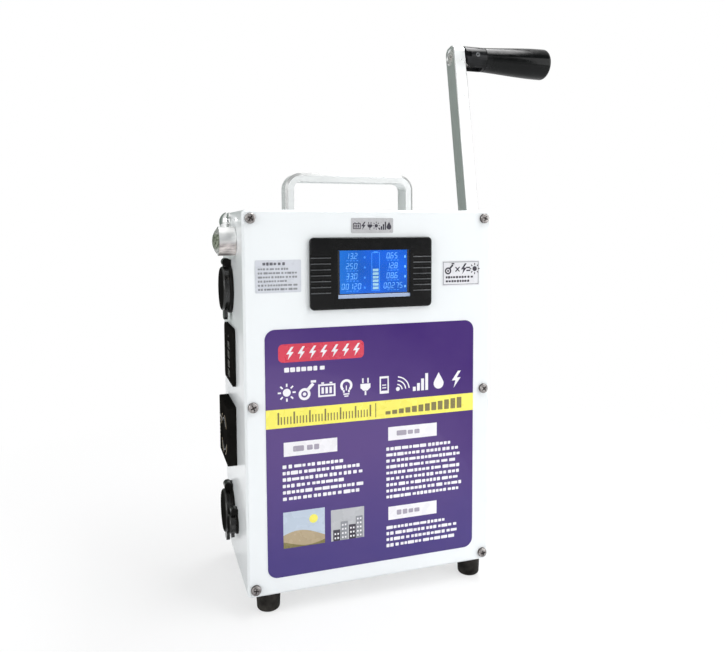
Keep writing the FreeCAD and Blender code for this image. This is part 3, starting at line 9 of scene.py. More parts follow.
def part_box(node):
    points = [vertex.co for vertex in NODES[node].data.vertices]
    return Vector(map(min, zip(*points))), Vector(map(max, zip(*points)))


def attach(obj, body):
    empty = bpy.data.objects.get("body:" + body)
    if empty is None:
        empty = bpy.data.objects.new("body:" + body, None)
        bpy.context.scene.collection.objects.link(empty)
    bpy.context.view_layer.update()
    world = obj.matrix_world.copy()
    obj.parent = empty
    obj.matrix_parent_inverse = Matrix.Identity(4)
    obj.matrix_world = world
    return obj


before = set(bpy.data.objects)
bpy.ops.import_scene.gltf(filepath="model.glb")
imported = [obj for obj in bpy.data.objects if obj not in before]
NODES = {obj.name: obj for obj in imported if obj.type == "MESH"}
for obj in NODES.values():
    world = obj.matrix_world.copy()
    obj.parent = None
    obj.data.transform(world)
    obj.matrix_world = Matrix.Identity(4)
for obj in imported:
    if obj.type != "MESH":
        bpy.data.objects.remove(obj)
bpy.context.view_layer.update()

MM = 0.001

# most values of a noise lie between these
NOISE_LO, NOISE_HI = 0.3, 0.7


def feed(tree, socket, value):
    """Link a socket to another node's output, or set it to a constant."""
    if isinstance(value, bpy.types.NodeSocket):
        tree.links.new(value, socket)
    elif isinstance(value, tuple) and len(value) == 3 and len(socket.default_value) == 4:
        socket.default_value = (*value, 1.0)
    else:
        socket.default_value = value


def add_node(tree, kind, inputs, props):
    """Add a node, set its properties, then feed its inputs, given by number or name."""
    n = tree.nodes.new(kind)
    for key, value in props.items():
        setattr(n, key, value)
    for key, value in inputs.items():
        feed(tree, n.inputs[key], value)
    return n


def link_in(name, data):
    """Put a new object in the scene."""
    thing = bpy.data.objects.new(name, data)
    bpy.context.scene.collection.objects.link(thing)
    return thing


def scaled(colour, k):
    return tuple(min(1.0, c * k) for c in colour)


# ---------------------------------------------------------------- node materials
class Graph:
    """A material's node tree, with short calls for the nodes used here."""

    def __init__(self, name):
        self.mat = bpy.data.materials.new(name)
        self.mat.use_nodes = True
        self.tree = self.mat.node_tree
        self.shader = self.tree.nodes["Principled BSDF"]
        self.out = self.tree.nodes["Material Output"]
        self.coord = self.node("ShaderNodeTexCoord").outputs["Object"]

    def node(self, kind, inputs=None, **props):
        return add_node(self.tree, kind, inputs or {}, props)

    def shade(self, **sockets):
        """Feed the shader's sockets, with _ for the spaces in their names, and return the material."""
        for name, value in sockets.items():
            feed(self.tree, self.shader.inputs[name.replace("_", " ")], value)
        return self.mat

    def math(self, op, a, b=0.0):
        return self.node("ShaderNodeMath", {0: a, 1: b}, operation=op).outputs[0]

    def times(self, first, *others):
        for other in others:
            first = self.math("MULTIPLY", first, other)
        return first

    def between(self, value, lo, hi):
        """1 where value lies between lo and hi, else 0."""
        return self.times(self.math("GREATER_THAN", value, lo), self.math("LESS_THAN", value, hi))

    def length(self, a, b):
        """Length of the flat vector (a, b)."""
        return self.math("SQRT", self.math("ADD", self.times(a, a), self.times(b, b)))

    def mix(self, factor, a, b):
        return self.node("ShaderNodeMix", {0: factor, 6: a, 7: b}, data_type="RGBA").outputs[2]

    def span(self, value, lo, hi, to_lo=0.0, to_hi=1.0):
        """Map lo..hi to to_lo..to_hi, held at its ends."""
        return self.node("ShaderNodeMapRange", {0: value, 1: lo, 2: hi, 3: to_lo, 4: to_hi}).outputs[0]

    def noise(self, scale, detail=3.0, rough=0.5, stretch=None):
        """Noise of so many cells to the metre, drawn out along an axis where stretch is small."""
        where = self.coord
        if stretch:
            where = self.node("ShaderNodeMapping", {"Vector": where, "Scale": stretch}).outputs[0]
        return self.node("ShaderNodeTexNoise", {"Vector": where, "Scale": scale, "Detail": detail,
                                                "Roughness": rough}).outputs[0]

    def blotches(self, scale, detail=3.0, rough=0.5, to_lo=0.0, to_hi=1.0):
        """Noise that fills to_lo..to_hi."""
        return self.span(self.noise(scale, detail, rough), NOISE_LO, NOISE_HI, to_lo, to_hi)

    def varied(self, where, colour, vary):
        """Colour that runs from a little darker to a little lighter."""
        return self.mix(where, scaled(colour, 1 - vary), scaled(colour, 1 + vary))

    def axes(self, vector=None):
        source = self.coord if vector is None else vector
        return self.node("ShaderNodeSeparateXYZ", {0: source}).outputs

    def bevel(self, radius, samples):
        """Normal as if sharp edges were rounded by radius metres."""
        return self.node("ShaderNodeBevel", {"Radius": radius}, samples=samples).outputs[0]

    def bump(self, height, strength, distance, under=None):
        inputs = {"Strength": strength, "Distance": distance, "Height": height}
        if under is not None:
            inputs["Normal"] = under
        return self.node("ShaderNodeBump", inputs).outputs[0]


GRAIN_SHADE = 0.75          # darkness of the fine grain's low spots
EDGE_POINT = (0.52, 0.60)   # pointiness from flat to a sharp edge
RUBBED_SHADE = 1.5          # brightness of a rubbed edge without a colour of its own
CORNER_TURN = (0.14, 0.22)  # n2 (1 - n2) of the normal from a face to a rounded corner
CORNER_SHADE = 0.20
DUST_TOP = 0.03             # height that floor dust reaches, in metres
DUST_COLOUR = (0.42, 0.39, 0.35)
COAT_ROUGH = 0.08
LEAST_ROUGH = 0.02
SOFTEN_SAMPLES = 4


def surface(name, colour, rough=0.4, metal=0.0, vary=0.06, patch=35.0, rough_vary=0.08, grain=900.0,
            bump=0.15, depth=0.00002, coat=0.0, wear=0.0, wear_colour=None, brushed=None,
            specular=0.5, dust=0.0, painted_corner_shade=0.0, soften=0.0):
    """Principled finish with patchy colour, uneven roughness and fine grain.

    brushed draws the grain out along an axis, wear rubs sharp edges to wear_colour, dust settles
    near the floor, painted_corner_shade paints shade on the rounded corners along a bar, and soften
    rounds sharp edges for the light by that radius in metres."""
    g = Graph(name)
    patches = g.noise(patch, 4.0, 0.55)
    fine = g.noise(grain, 2.0, 0.6 if brushed else 0.5, brushed)
    tone = g.varied(g.span(patches, NOISE_LO, NOISE_HI), colour, vary)
    tone = g.mix(g.times(fine, vary), tone, scaled(colour, GRAIN_SHADE))
    if wear:
        point = g.node("ShaderNodeNewGeometry").outputs["Pointiness"]
        rub = g.times(g.span(point, *EDGE_POINT), g.span(patches, 0.35, 0.65))
        tone = g.mix(g.times(rub, wear), tone, wear_colour or scaled(colour, RUBBED_SHADE))
    # painted shade: rounded corners, where the normal turns away from the front, are darkened as if less
    # light fell there
    if painted_corner_shade:
        facing = g.axes(g.node("ShaderNodeTexCoord").outputs["Normal"])[1]
        front = g.times(facing, facing)
        corner = g.times(front, g.math("SUBTRACT", 1.0, front))
        tone = g.mix(g.span(corner, *CORNER_TURN, 0.0, painted_corner_shade), tone, scaled(colour, CORNER_SHADE))
    if dust:
        low = g.times(g.span(g.axes()[2], DUST_TOP, 0.0), g.span(patches, 0.35, NOISE_HI))
        tone = g.mix(g.times(low, dust), tone, DUST_COLOUR)
    if coat:
        g.shade(Coat_Weight=coat, Coat_Roughness=COAT_ROUGH)
    uneven = g.blotches(patch * 4, 3.0, 0.6, max(LEAST_ROUGH, rough - rough_vary), rough + rough_vary)
    under = g.bevel(soften, SOFTEN_SAMPLES) if soften else None
    return g.shade(Base_Color=tone, Roughness=uneven, Metallic=metal, Specular_IOR_Level=specular,
                   Normal=g.bump(fine, bump, depth, under))


def dress(material, *names):
    """Give CAD nodes a material in all their slots."""
    for name in names:
        node = NODES[name]
        if not node.material_slots:
            node.data.materials.append(material)
        for s in node.material_slots:
            s.material = material


# name, colour, the nodes that wear it, and what surface() is told
FINISHES = (
    # paint and bars
    ("white_paint", (0.80, 0.83, 0.84), ("front_cover", "rear_cover"),
     dict(rough=0.34, vary=0.010, patch=12, rough_vary=0.03, grain=700, bump=0.08, depth=0.00004,
          soften=0.0008)),
    ("shell_paint", (0.83, 0.86, 0.865), ("case_shell",),
     dict(rough=0.30, vary=0.010, patch=12, rough_vary=0.02, grain=700, bump=0.03, coat=0.4,
          soften=0.0012)),
    ("satin_bar", (0.775, 0.79, 0.785), ("crank_arm",),
     dict(rough=0.30, metal=0.85, vary=0.02, patch=20, rough_vary=0.03, grain=420, bump=0.01,
          brushed=(1.0, 1.0, 0.04), painted_corner_shade=0.85)),
    ("satin_handle", (0.83, 0.845, 0.84), ("carry_handle",),
     dict(rough=0.32, metal=0.35, vary=0.02, patch=20, rough_vary=0.03, grain=420, bump=0.01,
          brushed=(0.05, 1.0, 1.0), painted_corner_shade=0.7)),
    # fasteners and metal parts
    ("zinc_screw", (0.42, 0.40, 0.38),
     ("foot_screws", "foot_nuts", "handle_screws", "gearbox_screws", "hub_screw", "panel_nuts"),
     dict(rough=0.34, metal=1.0, vary=0.18, patch=260, grain=1800, bump=0.25, wear=0.4)),
    ("bright_screw", (0.74, 0.73, 0.71), ("tongue_screw",),
     dict(rough=0.30, metal=0.6, vary=0.25, patch=500, grain=1800, bump=0.2)),
    ("pin_steel", (0.17, 0.175, 0.18), ("fold_pin",),
     dict(rough=0.3, metal=1.0, vary=0.2, patch=300, grain=1800, bump=0.2)),
    ("chrome_trim", (0.80, 0.81, 0.80), ("lamp_reflector", "switch_body", "switch_button"),
     dict(rough=0.10, metal=1.0, vary=0.03, patch=120, rough_vary=0.04, bump=0.04)),
    ("contact_brass", (0.62, 0.45, 0.17),
     ("ac_contacts", "socket_contacts", "jack_pin", "generator_pinion"),
     dict(rough=0.3, metal=1.0, vary=0.15, patch=200, grain=1500, bump=0.2)),
    ("steel_part", (0.48, 0.48, 0.47),
     ("crank_shaft", "gearbox_frame", "grip_spindle", "grip_tongue", "crank_housing"),
     dict(rough=0.3, metal=1.0, vary=0.1, patch=60, brushed=(0.1, 1, 1))),
    ("gear_steel", (0.33, 0.33, 0.34), ("crank_gear", "idler_gear"),
     dict(rough=0.33, metal=1.0, vary=0.15, patch=90, grain=1100, bump=0.2, wear=0.6,
          wear_colour=(0.6, 0.6, 0.6))),
    ("gen_case", (0.5, 0.51, 0.52), ("generator_case",),
     dict(rough=0.3, metal=1.0, vary=0.08, patch=50, grain=700, brushed=(1, 0.05, 0.05))),
    ("magnet", (0.09, 0.09, 0.095), ("generator_magnets",),
     dict(rough=0.55, metal=0.6, vary=0.3, patch=150, grain=1500, bump=0.4)),
    ("port_shell", (0.30, 0.30, 0.28), ("charge_ports",),
     dict(rough=0.25, metal=0.35, vary=0.2, patch=300, grain=1500, bump=0.2)),
    # rubber and plastic; the side fittings are seen at a glancing angle and stay matt
    ("foot_rubber", (0.009, 0.008, 0.007), ("feet",),
     dict(rough=0.6, specular=0.08, vary=0.25, patch=90, grain=1400, bump=0.35, depth=0.00005,
          wear=0.4, wear_colour=(0.04, 0.036, 0.03), dust=0.12)),
    ("black_plastic", (0.0045, 0.0042, 0.0038),
     ("socket_upper_body", "socket_lower_body", "jack_body", "socket_nuts"),
     dict(rough=0.32, specular=0.10, vary=0.2, patch=60, grain=1500, bump=0.2, depth=0.00003,
          soften=0.0005)),
    ("outlet_black", (0.011, 0.0105, 0.0095), ("ac_outlet", "charge_plate"),
     dict(rough=0.50, specular=0.0, vary=0.3, patch=60, grain=1500, bump=0.2, depth=0.00003,
          soften=0.0005)),
    ("rocker_gloss", (0.016, 0.016, 0.017), ("ac_rocker",),
     dict(rough=0.22, vary=0.2, patch=80, wear=0.4, wear_colour=(0.07, 0.07, 0.07))),
    ("gloss_black", (0.003, 0.0036, 0.0036), ("grip_collar", "grip_sleeve"),
     dict(rough=0.15, specular=0.14, vary=0.2, patch=45, rough_vary=0.06, grain=600, bump=0.08,
          wear=0.5, wear_colour=(0.05, 0.05, 0.055))),
    ("holder_plastic", (0.03, 0.03, 0.03), ("battery_holders",),
     dict(rough=0.5, vary=0.2, patch=60, grain=1200, bump=0.3)),
    ("label_silver", (0.50, 0.50, 0.515), ("label_title",),
     dict(rough=0.33, metal=0.25, vary=0.08, patch=300, grain=1500, bump=0.1, brushed=(0.1, 1, 1))),
)
for name, colour, wearers, options in FINISHES:
    dress(surface(name, colour, **options), *wearers)


# ---------------------------------------------------------------- finishes made for one piece
PARTING = 0.00001   # half the width over which two bands blend, in metres


def banded(name, beyond, colours, rough, metal):
    """Two finishes on one node: the second where beyond(graph) is above 0 metres."""
    g = Graph(name)
    where = g.span(beyond(g), -PARTING, PARTING)
    patches = g.blotches(80.0, 4.0, 0.6)
    tones = [g.varied(patches, colour, 0.12) for colour in colours]
    uneven = g.times(g.noise(240.0, 2.0), 0.12)
    return g.shade(Base_Color=g.mix(where, *tones),
                   Roughness=g.math("ADD", g.span(where, 0, 1, *rough), uneven),
                   Metallic=g.span(where, 0, 1, *metal),
                   Normal=g.bump(g.noise(1200.0, 2.0), 0.2, 0.00003))


def beyond_radius(y, z, r):
    """Distance past r from the line along X through (y, z)."""
    def measure(g):
        axes = g.axes()
        far = g.length(g.math("SUBTRACT", axes[1], y), g.math("SUBTRACT", axes[2], z))
        return g.math("SUBTRACT", far, r)
    return measure


def beyond_y(limit):
    return lambda g: g.math("SUBTRACT", g.axes()[1], limit)


def meter_black(name):
    """Glossy black housing; the sloping ledge under the window is painted blue-grey as a painted glow of
    the display's light, and the grooves' lower lips carry painted highlights.
    """
    g = Graph(name)
    lo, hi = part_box("meter_window")
    x, y, z = g.axes()
    painted_ledge_glow = g.times(g.between(x, lo.x - 0.0002, hi.x + 0.0002), g.between(z, lo.z - 0.0003, lo.z + 0.0024),
                    g.between(y, lo.y - 0.00078, lo.y + 0.0001))
    # the grooves repeat every 4 mm at both ends; each one's lower lip gets a painted highlight, a lighter
    # band where it would catch the light
    body_lo, body_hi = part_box("meter_housing")
    groove_pitch, groove_top, groove_end = 0.004, 0.0139, 0.0145
    half = (body_hi.x - body_lo.x) / 2
    out = g.math("ABSOLUTE", g.math("SUBTRACT", x, (body_lo.x + body_hi.x) / 2))
    up = g.math("SUBTRACT", z, (body_lo.z + body_hi.z) / 2)
    phase = g.math("FRACT", g.math("ADD", g.math("DIVIDE", up, groove_pitch), 0.5))
    painted_lip_highlight = g.times(g.between(phase, 0.13, 0.30), g.math("LESS_THAN", g.math("ABSOLUTE", up), groove_top),
                  g.math("GREATER_THAN", out, half - groove_end),
                  g.math("LESS_THAN", y, body_lo.y + 0.0004))
    patches = g.blotches(60.0, 4.0)
    tone = g.mix(patches, (0.0035, 0.0038, 0.004), (0.006, 0.006, 0.0062))
    # painted highlight along the lips, then the painted glow of the display on the ledge
    tone = g.mix(g.times(painted_lip_highlight, g.span(patches, 0.0, 1.0, 0.5, 1.0)), tone, (0.11, 0.115, 0.12))
    return g.shade(Base_Color=g.mix(painted_ledge_glow, tone, (0.34, 0.42, 0.58)),
                   Roughness=g.blotches(240.0, to_lo=0.16, to_hi=0.26), Specular_IOR_Level=0.18,
                   Normal=g.bump(g.noise(1500.0, 2.0), 0.15, 0.00003, g.bevel(0.0007, 6)))


def board_material(name, sheet_lo, sheet_hi):
    """Green circuit board with copper tracks where Y lies in the sheet, dark parts elsewhere."""
    g = Graph(name)
    inside = g.between(g.axes()[1], sheet_lo, sheet_hi)
    upright = g.node("ShaderNodeMapping", {"Vector": g.coord, "Rotation": (math.pi / 2, 0, 0)})
    tracks = g.node("ShaderNodeTexBrick", {
        "Vector": upright.outputs[0], "Scale": 160.0, "Mortar Size": 0.06, "Color1": (0.006, 0.10, 0.035),
        "Color2": (0.008, 0.13, 0.045), "Mortar": (0.03, 0.26, 0.10)})
    spots = g.span(g.noise(320.0, 2.0), 0.62, 0.66)
    parts = g.mix(spots, (0.02, 0.02, 0.022), (0.28, 0.28, 0.29))
    return g.shade(Base_Color=g.mix(inside, parts, tracks.outputs["Color"]),
                   Roughness=g.blotches(200.0, to_lo=0.3, to_hi=0.5),
                   Normal=g.bump(tracks.outputs["Fac"], 0.2, 0.00003))


def print_material(name, colour):
    """Ink on a laminated label: fine dot grain and a faint unevenness."""
    return surface(name, colour, rough=0.28, vary=0.05, patch=25, rough_vary=0.05, grain=2600, bump=0.05,
                   depth=0.00001, coat=0.25)


def purple_label(name):
    """Violet field: deep along the top behind a soft sweep, lighter in the middle, bluer at the foot."""
    g = Graph(name)
    lo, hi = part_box("label_main")
    axes = g.axes()
    # the sweep is an arc about a point off the label's lower left, with a firmer edge along it
    centre_x, centre_z = lo.x - 0.02, hi.z - 0.235
    far = g.length(g.math("SUBTRACT", axes[0], centre_x), g.math("SUBTRACT", axes[2], centre_z))
    sweep = g.times(g.span(far, 0.196, 0.262), 0.85)
    sweep_edge = g.times(g.span(far, 0.210, 0.214), 0.22)
    foot = g.span(axes[2], lo.z + 0.085, lo.z + 0.01)
    clouds = g.times(g.span(g.noise(26.0), 0.35, NOISE_HI), 0.16)
    dots = g.times(g.noise(2600.0, 1.0), 0.10)
    tone = g.mix(foot, (0.112, 0.070, 0.222), (0.070, 0.052, 0.205))
    for share, colour in ((sweep, (0.040, 0.010, 0.140)), (sweep_edge, (0.050, 0.020, 0.150)),
                          (clouds, (0.135, 0.085, 0.230)), (dots, (0.05, 0.03, 0.14))):
        tone = g.mix(share, tone, colour)
    return g.shade(Base_Color=tone, Roughness=g.blotches(60.0, to_lo=0.30, to_hi=0.40),
                   Specular_IOR_Level=0.12, Normal=g.bump(g.noise(900.0, 2.0), 0.04, 0.00002))


def glowing(name, colour, strength, vary=0.1, side=None):
    """Backlit finish with an uneven glow; side = (x_lo, x_hi, tint) leans to tint toward x_lo."""
    g = Graph(name)
    tone = g.varied(g.blotches(45.0, 2.0), colour, vary)
    if side:
        lo, hi, tint = side
        tone = g.mix(g.times(g.span(g.axes()[0], lo, hi, 1.0, 0.0), 0.8), tone, tint)
    return g.shade(Base_Color=tone, Emission_Color=tone, Emission_Strength=strength,
                   Roughness=g.blotches(90.0, to_lo=0.25, to_hi=0.4))


GLASS_IOR = 1.45


def clear_pane(name, tint):
    """Clear pane with faint smears."""
    g = Graph(name)
    tone = g.mix(g.span(g.noise(30.0), 0.4, NOISE_HI), tint, scaled(tint, 0.94))
    return g.shade(Base_Color=tone, Transmission_Weight=1.0, IOR=GLASS_IOR,
                   Roughness=g.span(g.noise(80.0, 4.0), 0.45, 0.75, 0.03, 0.07),
                   Normal=g.bump(g.noise(12.0), 0.05, 0.0001))


def screw_heads(name, node):
    """Bright crowns, with painted shade darkening the rims and recesses, told apart by depth from the front
    and the back.
    """
    g = Graph(name)
    lo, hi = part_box(node)
    y = g.axes()[1]
    depth = g.math("MINIMUM", g.math("SUBTRACT", y, lo.y), g.math("SUBTRACT", hi.y, y))
    blotch = g.span(g.noise(520.0, 3.0, 0.6), 0.35, 0.65)
    crown = g.mix(blotch, (0.16, 0.145, 0.14), (0.42, 0.40, 0.39))
    # painted shade: the rims and recesses, deeper than the crowns, are darkened
    rim = g.mix(blotch, (0.045, 0.037, 0.035), (0.11, 0.095, 0.09))
    return g.shade(Base_Color=g.mix(g.span(depth, 0.0003, 0.0009), crown, rim), Metallic=1.0,
                   Roughness=g.span(blotch, 0.0, 1.0, 0.28, 0.42),
                   Normal=g.bump(g.noise(1800.0, 2.0), 0.3, 0.00002))


def cap_rubber(name, node):
    """Smooth black rubber with shiny rims and a matt outer face."""
    g = Graph(name)
    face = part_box(node)[0].x
    patches = g.blotches(80.0, 4.0)
    rim = g.span(g.axes()[0], face + 0.0003, face + 0.0012)
    rough = g.math("ADD", g.span(rim, 0.0, 1.0, 0.45, 0.17), g.times(patches, 0.08))
    return g.shade(Base_Color=g.mix(patches, (0.007, 0.007, 0.0065), (0.012, 0.012, 0.0115)),
                   Specular_IOR_Level=g.times(rim, 0.55), Roughness=rough,
                   Normal=g.bump(g.noise(1200.0, 2.0), 0.15, 0.00003))


def chrome_painted_reflections(name, node):
    """Bright polished tube; its lower half carries painted reflections, soft grey and rosy streaks along
    the axis.
    """
    g = Graph(name)
    lo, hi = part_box(node)
    mid, half = (lo.z + hi.z) / 2, (hi.z - lo.z) / 2
    # painted reflection: darker toward the bottom, with streaks standing in for the room mirrored in the
    # tube
    low = g.span(g.axes()[2], mid + 0.10 * half, mid - 0.25 * half)
    reflection_streak = g.span(g.noise(300.0, 3.0, 0.6, (0.35, 1.0, 1.0)), 0.36, 0.64)
    under = g.mix(reflection_streak, (0.30, 0.27, 0.27), (0.80, 0.74, 0.70))
    return g.shade(Base_Color=g.mix(low, (0.93, 0.935, 0.925), under), Metallic=0.5,
                   Roughness=g.span(reflection_streak, 0.0, 1.0, 0.10, 0.20),
                   Normal=g.bump(g.noise(900.0, 2.0), 0.04, 0.00002))


def lens_glass(name, node):
    """Domed glass: mottled grey-green across the middle, clear toward the top and bottom of its rim."""
    g = Graph(name)
    lo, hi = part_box(node)
    mid, half = (lo.z + hi.z) / 2, (hi.z - lo.z) / 2
    off = g.math("ABSOLUTE", g.math("SUBTRACT", g.axes()[2], mid))
    ragged = g.math("ADD", off, g.times(g.noise(240.0, 2.0), 0.0022))
    band = g.span(ragged, half * 0.56, half * 0.74, 1.0, 0.0)
    mottle = g.span(g.noise(420.0, 4.0, 0.7), 0.35, 0.66)
    deep = g.mix(mottle, (0.035, 0.048, 0.026), (0.42, 0.46, 0.36))
    return g.shade(Base_Color=g.mix(band, (0.96, 0.98, 0.94), deep), IOR=GLASS_IOR,
                   Transmission_Weight=g.span(band, 0.0, 1.0, 0.75, 0.25),
                   Roughness=g.span(g.noise(80.0, 4.0), 0.45, 0.75, 0.05, 0.12),
                   Normal=g.bump(g.noise(160.0), 0.2, 0.0002))


gen_lo, gen_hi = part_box("generator_case")
cells_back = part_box("battery_cells")[1].y
inverter_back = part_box("inverter_board")[1].y
charger_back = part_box("charge_board")[1].y
meter_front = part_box("meter_board")[0].y
WINDING_R = 0.0125             # copper inside this radius of the rotor, iron beyond
CELL_CAP = 0.001               # bare metal at a cell's end
BOARD_T = 0.0016
BOARD_SKIN = 0.0001            # reach past a board's face, so that the face is green as well
METER_SHEET = (0.003, 0.006)   # the meter's board, from its foremost part

dress(screw_heads("cover_screw_metal", "cover_screws"), "cover_screws")
for name in ("socket_upper_cap", "socket_lower_cap", "jack_cap"):
    dress(cap_rubber("rubber_" + name, name), name)
dress(chrome_painted_reflections("lamp_chrome", "lamp_body"), "lamp_body")
dress(lens_glass("lens_green", "lamp_lens"), "lamp_lens")
dress(meter_black("meter_black"), "meter_housing", "meter_key")
dress(clear_pane("window_clear", (0.93, 0.97, 1.0)), "meter_window")
winding = beyond_radius((gen_lo.y + gen_hi.y) / 2, (gen_lo.z + gen_hi.z) / 2, WINDING_R)
dress(banded("rotor_iron", winding, ((0.55, 0.22, 0.10), (0.25, 0.25, 0.26)), (0.3, 0.4), (0.9, 1.0)),
      "generator_rotor")
dress(banded("cell_wrap", beyond_y(cells_back - CELL_CAP), ((0.02, 0.12, 0.33), (0.55, 0.55, 0.54)),
             (0.3, 0.3), (0.0, 1.0)), "battery_cells")
dress(board_material("board_inverter", inverter_back - BOARD_T, inverter_back + BOARD_SKIN),
      "inverter_board")
dress(board_material("board_charge", charger_back - BOARD_T, charger_back + BOARD_SKIN), "charge_board")
dress(board_material("board_meter", *(meter_front + depth for depth in METER_SHEET)), "meter_board")
dress(purple_label("label_purple"), "label_main")
dress(print_material("label_grey", (0.60, 0.62, 0.67)), "label_notes")
dress(print_material("label_white", (0.72, 0.72, 0.75)), "label_formula")


# ---------------------------------------------------------------- flat printed shapes
INKS = {ink: print_material(ink, colour) for ink, colour in (
    ("ink_white", (0.82, 0.81, 0.84)),
    ("ink_red", (0.62, 0.035, 0.075)),
    ("ink_yellow", (0.88, 0.80, 0.12)),
    ("ink_dark", (0.035, 0.030, 0.045)),
    ("ink_olive", (0.19, 0.16, 0.05)),
    ("ink_sand", (0.42, 0.33, 0.20)),
    ("ink_sky", (0.48, 0.56, 0.66)),
    ("ink_grey", (0.24, 0.25, 0.27)),
    ("ink_mid", (0.45, 0.46, 0.48)),
    ("ink_text", (0.12, 0.12, 0.14)),
    ("ink_soft", (0.36, 0.33, 0.40)),
)}

# thickness of a print in mm: on a label, on another print, on a shape of that print, on the
# display, and of the raised marks on the outlet
PRINT_LIFT = 0.04
OVER_PRINT = 0.05
TOP_LIFT = 0.08
LCD_LIFT = 0.02
MARK_LIFT = 0.2
ROUND_STEPS = 4
ARC_STEPS = 10
DISC_SIDES = 20


def rounded(u, w, width, height, r):
    """Corners of a rectangle, rounded by r where that is above 0."""
    if r <= 0:
        return [(u, w), (u + width, w), (u + width, w + height), (u, w + height)]
    r = min(r, width / 2, height / 2)
    left, right, low, high = u + r, u + width - r, w + r, w + height - r
    points = []
    for cx, cy, start in ((right, low, -90), (right, high, 0), (left, high, 90), (left, low, 180)):
        for i in range(ROUND_STEPS + 1):
            t = math.radians(start + 90 * i / ROUND_STEPS)
            points.append((cx + r * math.cos(t), cy + r * math.sin(t)))
    return points


def on_circle(u, w, r, turn):
    return (u + r * math.cos(turn), w + r * math.sin(turn))


class Sheet:
    """Thin closed prisms on a plane that faces -Y, measured in mm from the corner of a label.

    over is added to every lift, for shapes printed on top of other shapes. With side=True the plane
    faces -X and the first measure runs along +Y."""

    def __init__(self, name, left, low, front, side=False):
        self.name = name
        self.left, self.low, self.front, self.side = left, low, front, side
        self.bm = bmesh.new()
        self.inks = []
        self.over = 0.0

    def poly(self, points, ink, lift=PRINT_LIFT):
        if ink not in self.inks:
            self.inks.append(ink)
        rings = []
        for depth in (self.front - (lift + self.over) * MM, self.front):
            ring = []
            for u, w in points:
                along, up = self.left + u * MM, self.low + w * MM
                ring.append(self.bm.verts.new((depth, along, up) if self.side else (along, depth, up)))
            rings.append(ring)
        count = len(points)
        faces = [self.bm.faces.new(rings[0]), self.bm.faces.new(rings[1][::-1])]
        for i in range(count):
            j = (i + 1) % count
            faces.append(self.bm.faces.new((rings[0][j], rings[0][i], rings[1][i], rings[1][j])))
        for f in faces:
            f.material_index = self.inks.index(ink)

    def rect(self, u, w, width, height, ink, r=0.0, lift=PRINT_LIFT):
        self.poly(rounded(u, w, width, height, r), ink, lift)

    def disc(self, u, w, r, ink):
        self.poly([on_circle(u, w, r, math.tau * i / DISC_SIDES) for i in range(DISC_SIDES)], ink)

    def ring(self, u, w, r0, r1, ink, start=0.0, sweep=360.0, lift=PRINT_LIFT):
        """Band of a circle, cut in pieces of at most half a turn."""
        pieces = max(1, math.ceil(sweep / 180.0))
        for k in range(pieces):
            a0 = math.radians(start + sweep * k / pieces)
            a1 = math.radians(start + sweep * (k + 1) / pieces)
            arc = [a0 + (a1 - a0) * i / ARC_STEPS for i in range(ARC_STEPS + 1)]
            outer = [on_circle(u, w, r1, a) for a in arc]
            inner = [on_circle(u, w, r0, a) for a in reversed(arc)]
            self.poly(outer + inner, ink, lift)

    def strokes(self, u, w, width, rows, pitch, height, ink, seed):
        """Rows of short strokes of uneven length, as fine print looks from afar."""
        rnd = random.Random(seed)
        for row in range(rows):
            y = w - row * pitch
            x = u
            end = u + width * (1.0 if row % 3 else rnd.uniform(0.72, 0.95))
            while x < end - height:
                length = min(rnd.choice((0.8, 0.9, 1.0, 1.0, 1.9)) * height, end - x)
                tall = height * rnd.uniform(0.72, 1.0)
                self.rect(x, y + (height - tall) / 2, length, tall, ink, tall * 0.18)
                x += length + height * rnd.choice((0.22, 0.25, 0.3, 0.55))

    def done(self, body, slot):
        bmesh.ops.recalc_face_normals(self.bm, faces=self.bm.faces)
        mesh = bpy.data.meshes.new(self.name)
        self.bm.to_mesh(mesh)
        self.bm.free()
        for ink in self.inks:
            mesh.materials.append(INKS[ink])
        piece = link_in(self.name, mesh)
        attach(piece, body)


def on_label(name, node):
    """Sheet on the front of a label, with the label's width and height in mm."""
    lo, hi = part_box(node)
    return Sheet(name, lo.x, lo.z, lo.y), (hi.x - lo.x) / MM, (hi.z - lo.z) / MM


def bar_across(u, w, turn, near, far, half):
    """Corners of a straight bar from near to far along a direction out of (u, w)."""
    d, n = (math.cos(turn), math.sin(turn)), (-math.sin(turn), math.cos(turn))
    return [(u + d[0] * along + n[0] * side, w + d[1] * along + n[1] * side)
            for along, side in ((near, -half), (far, -half), (far, half), (near, half))]


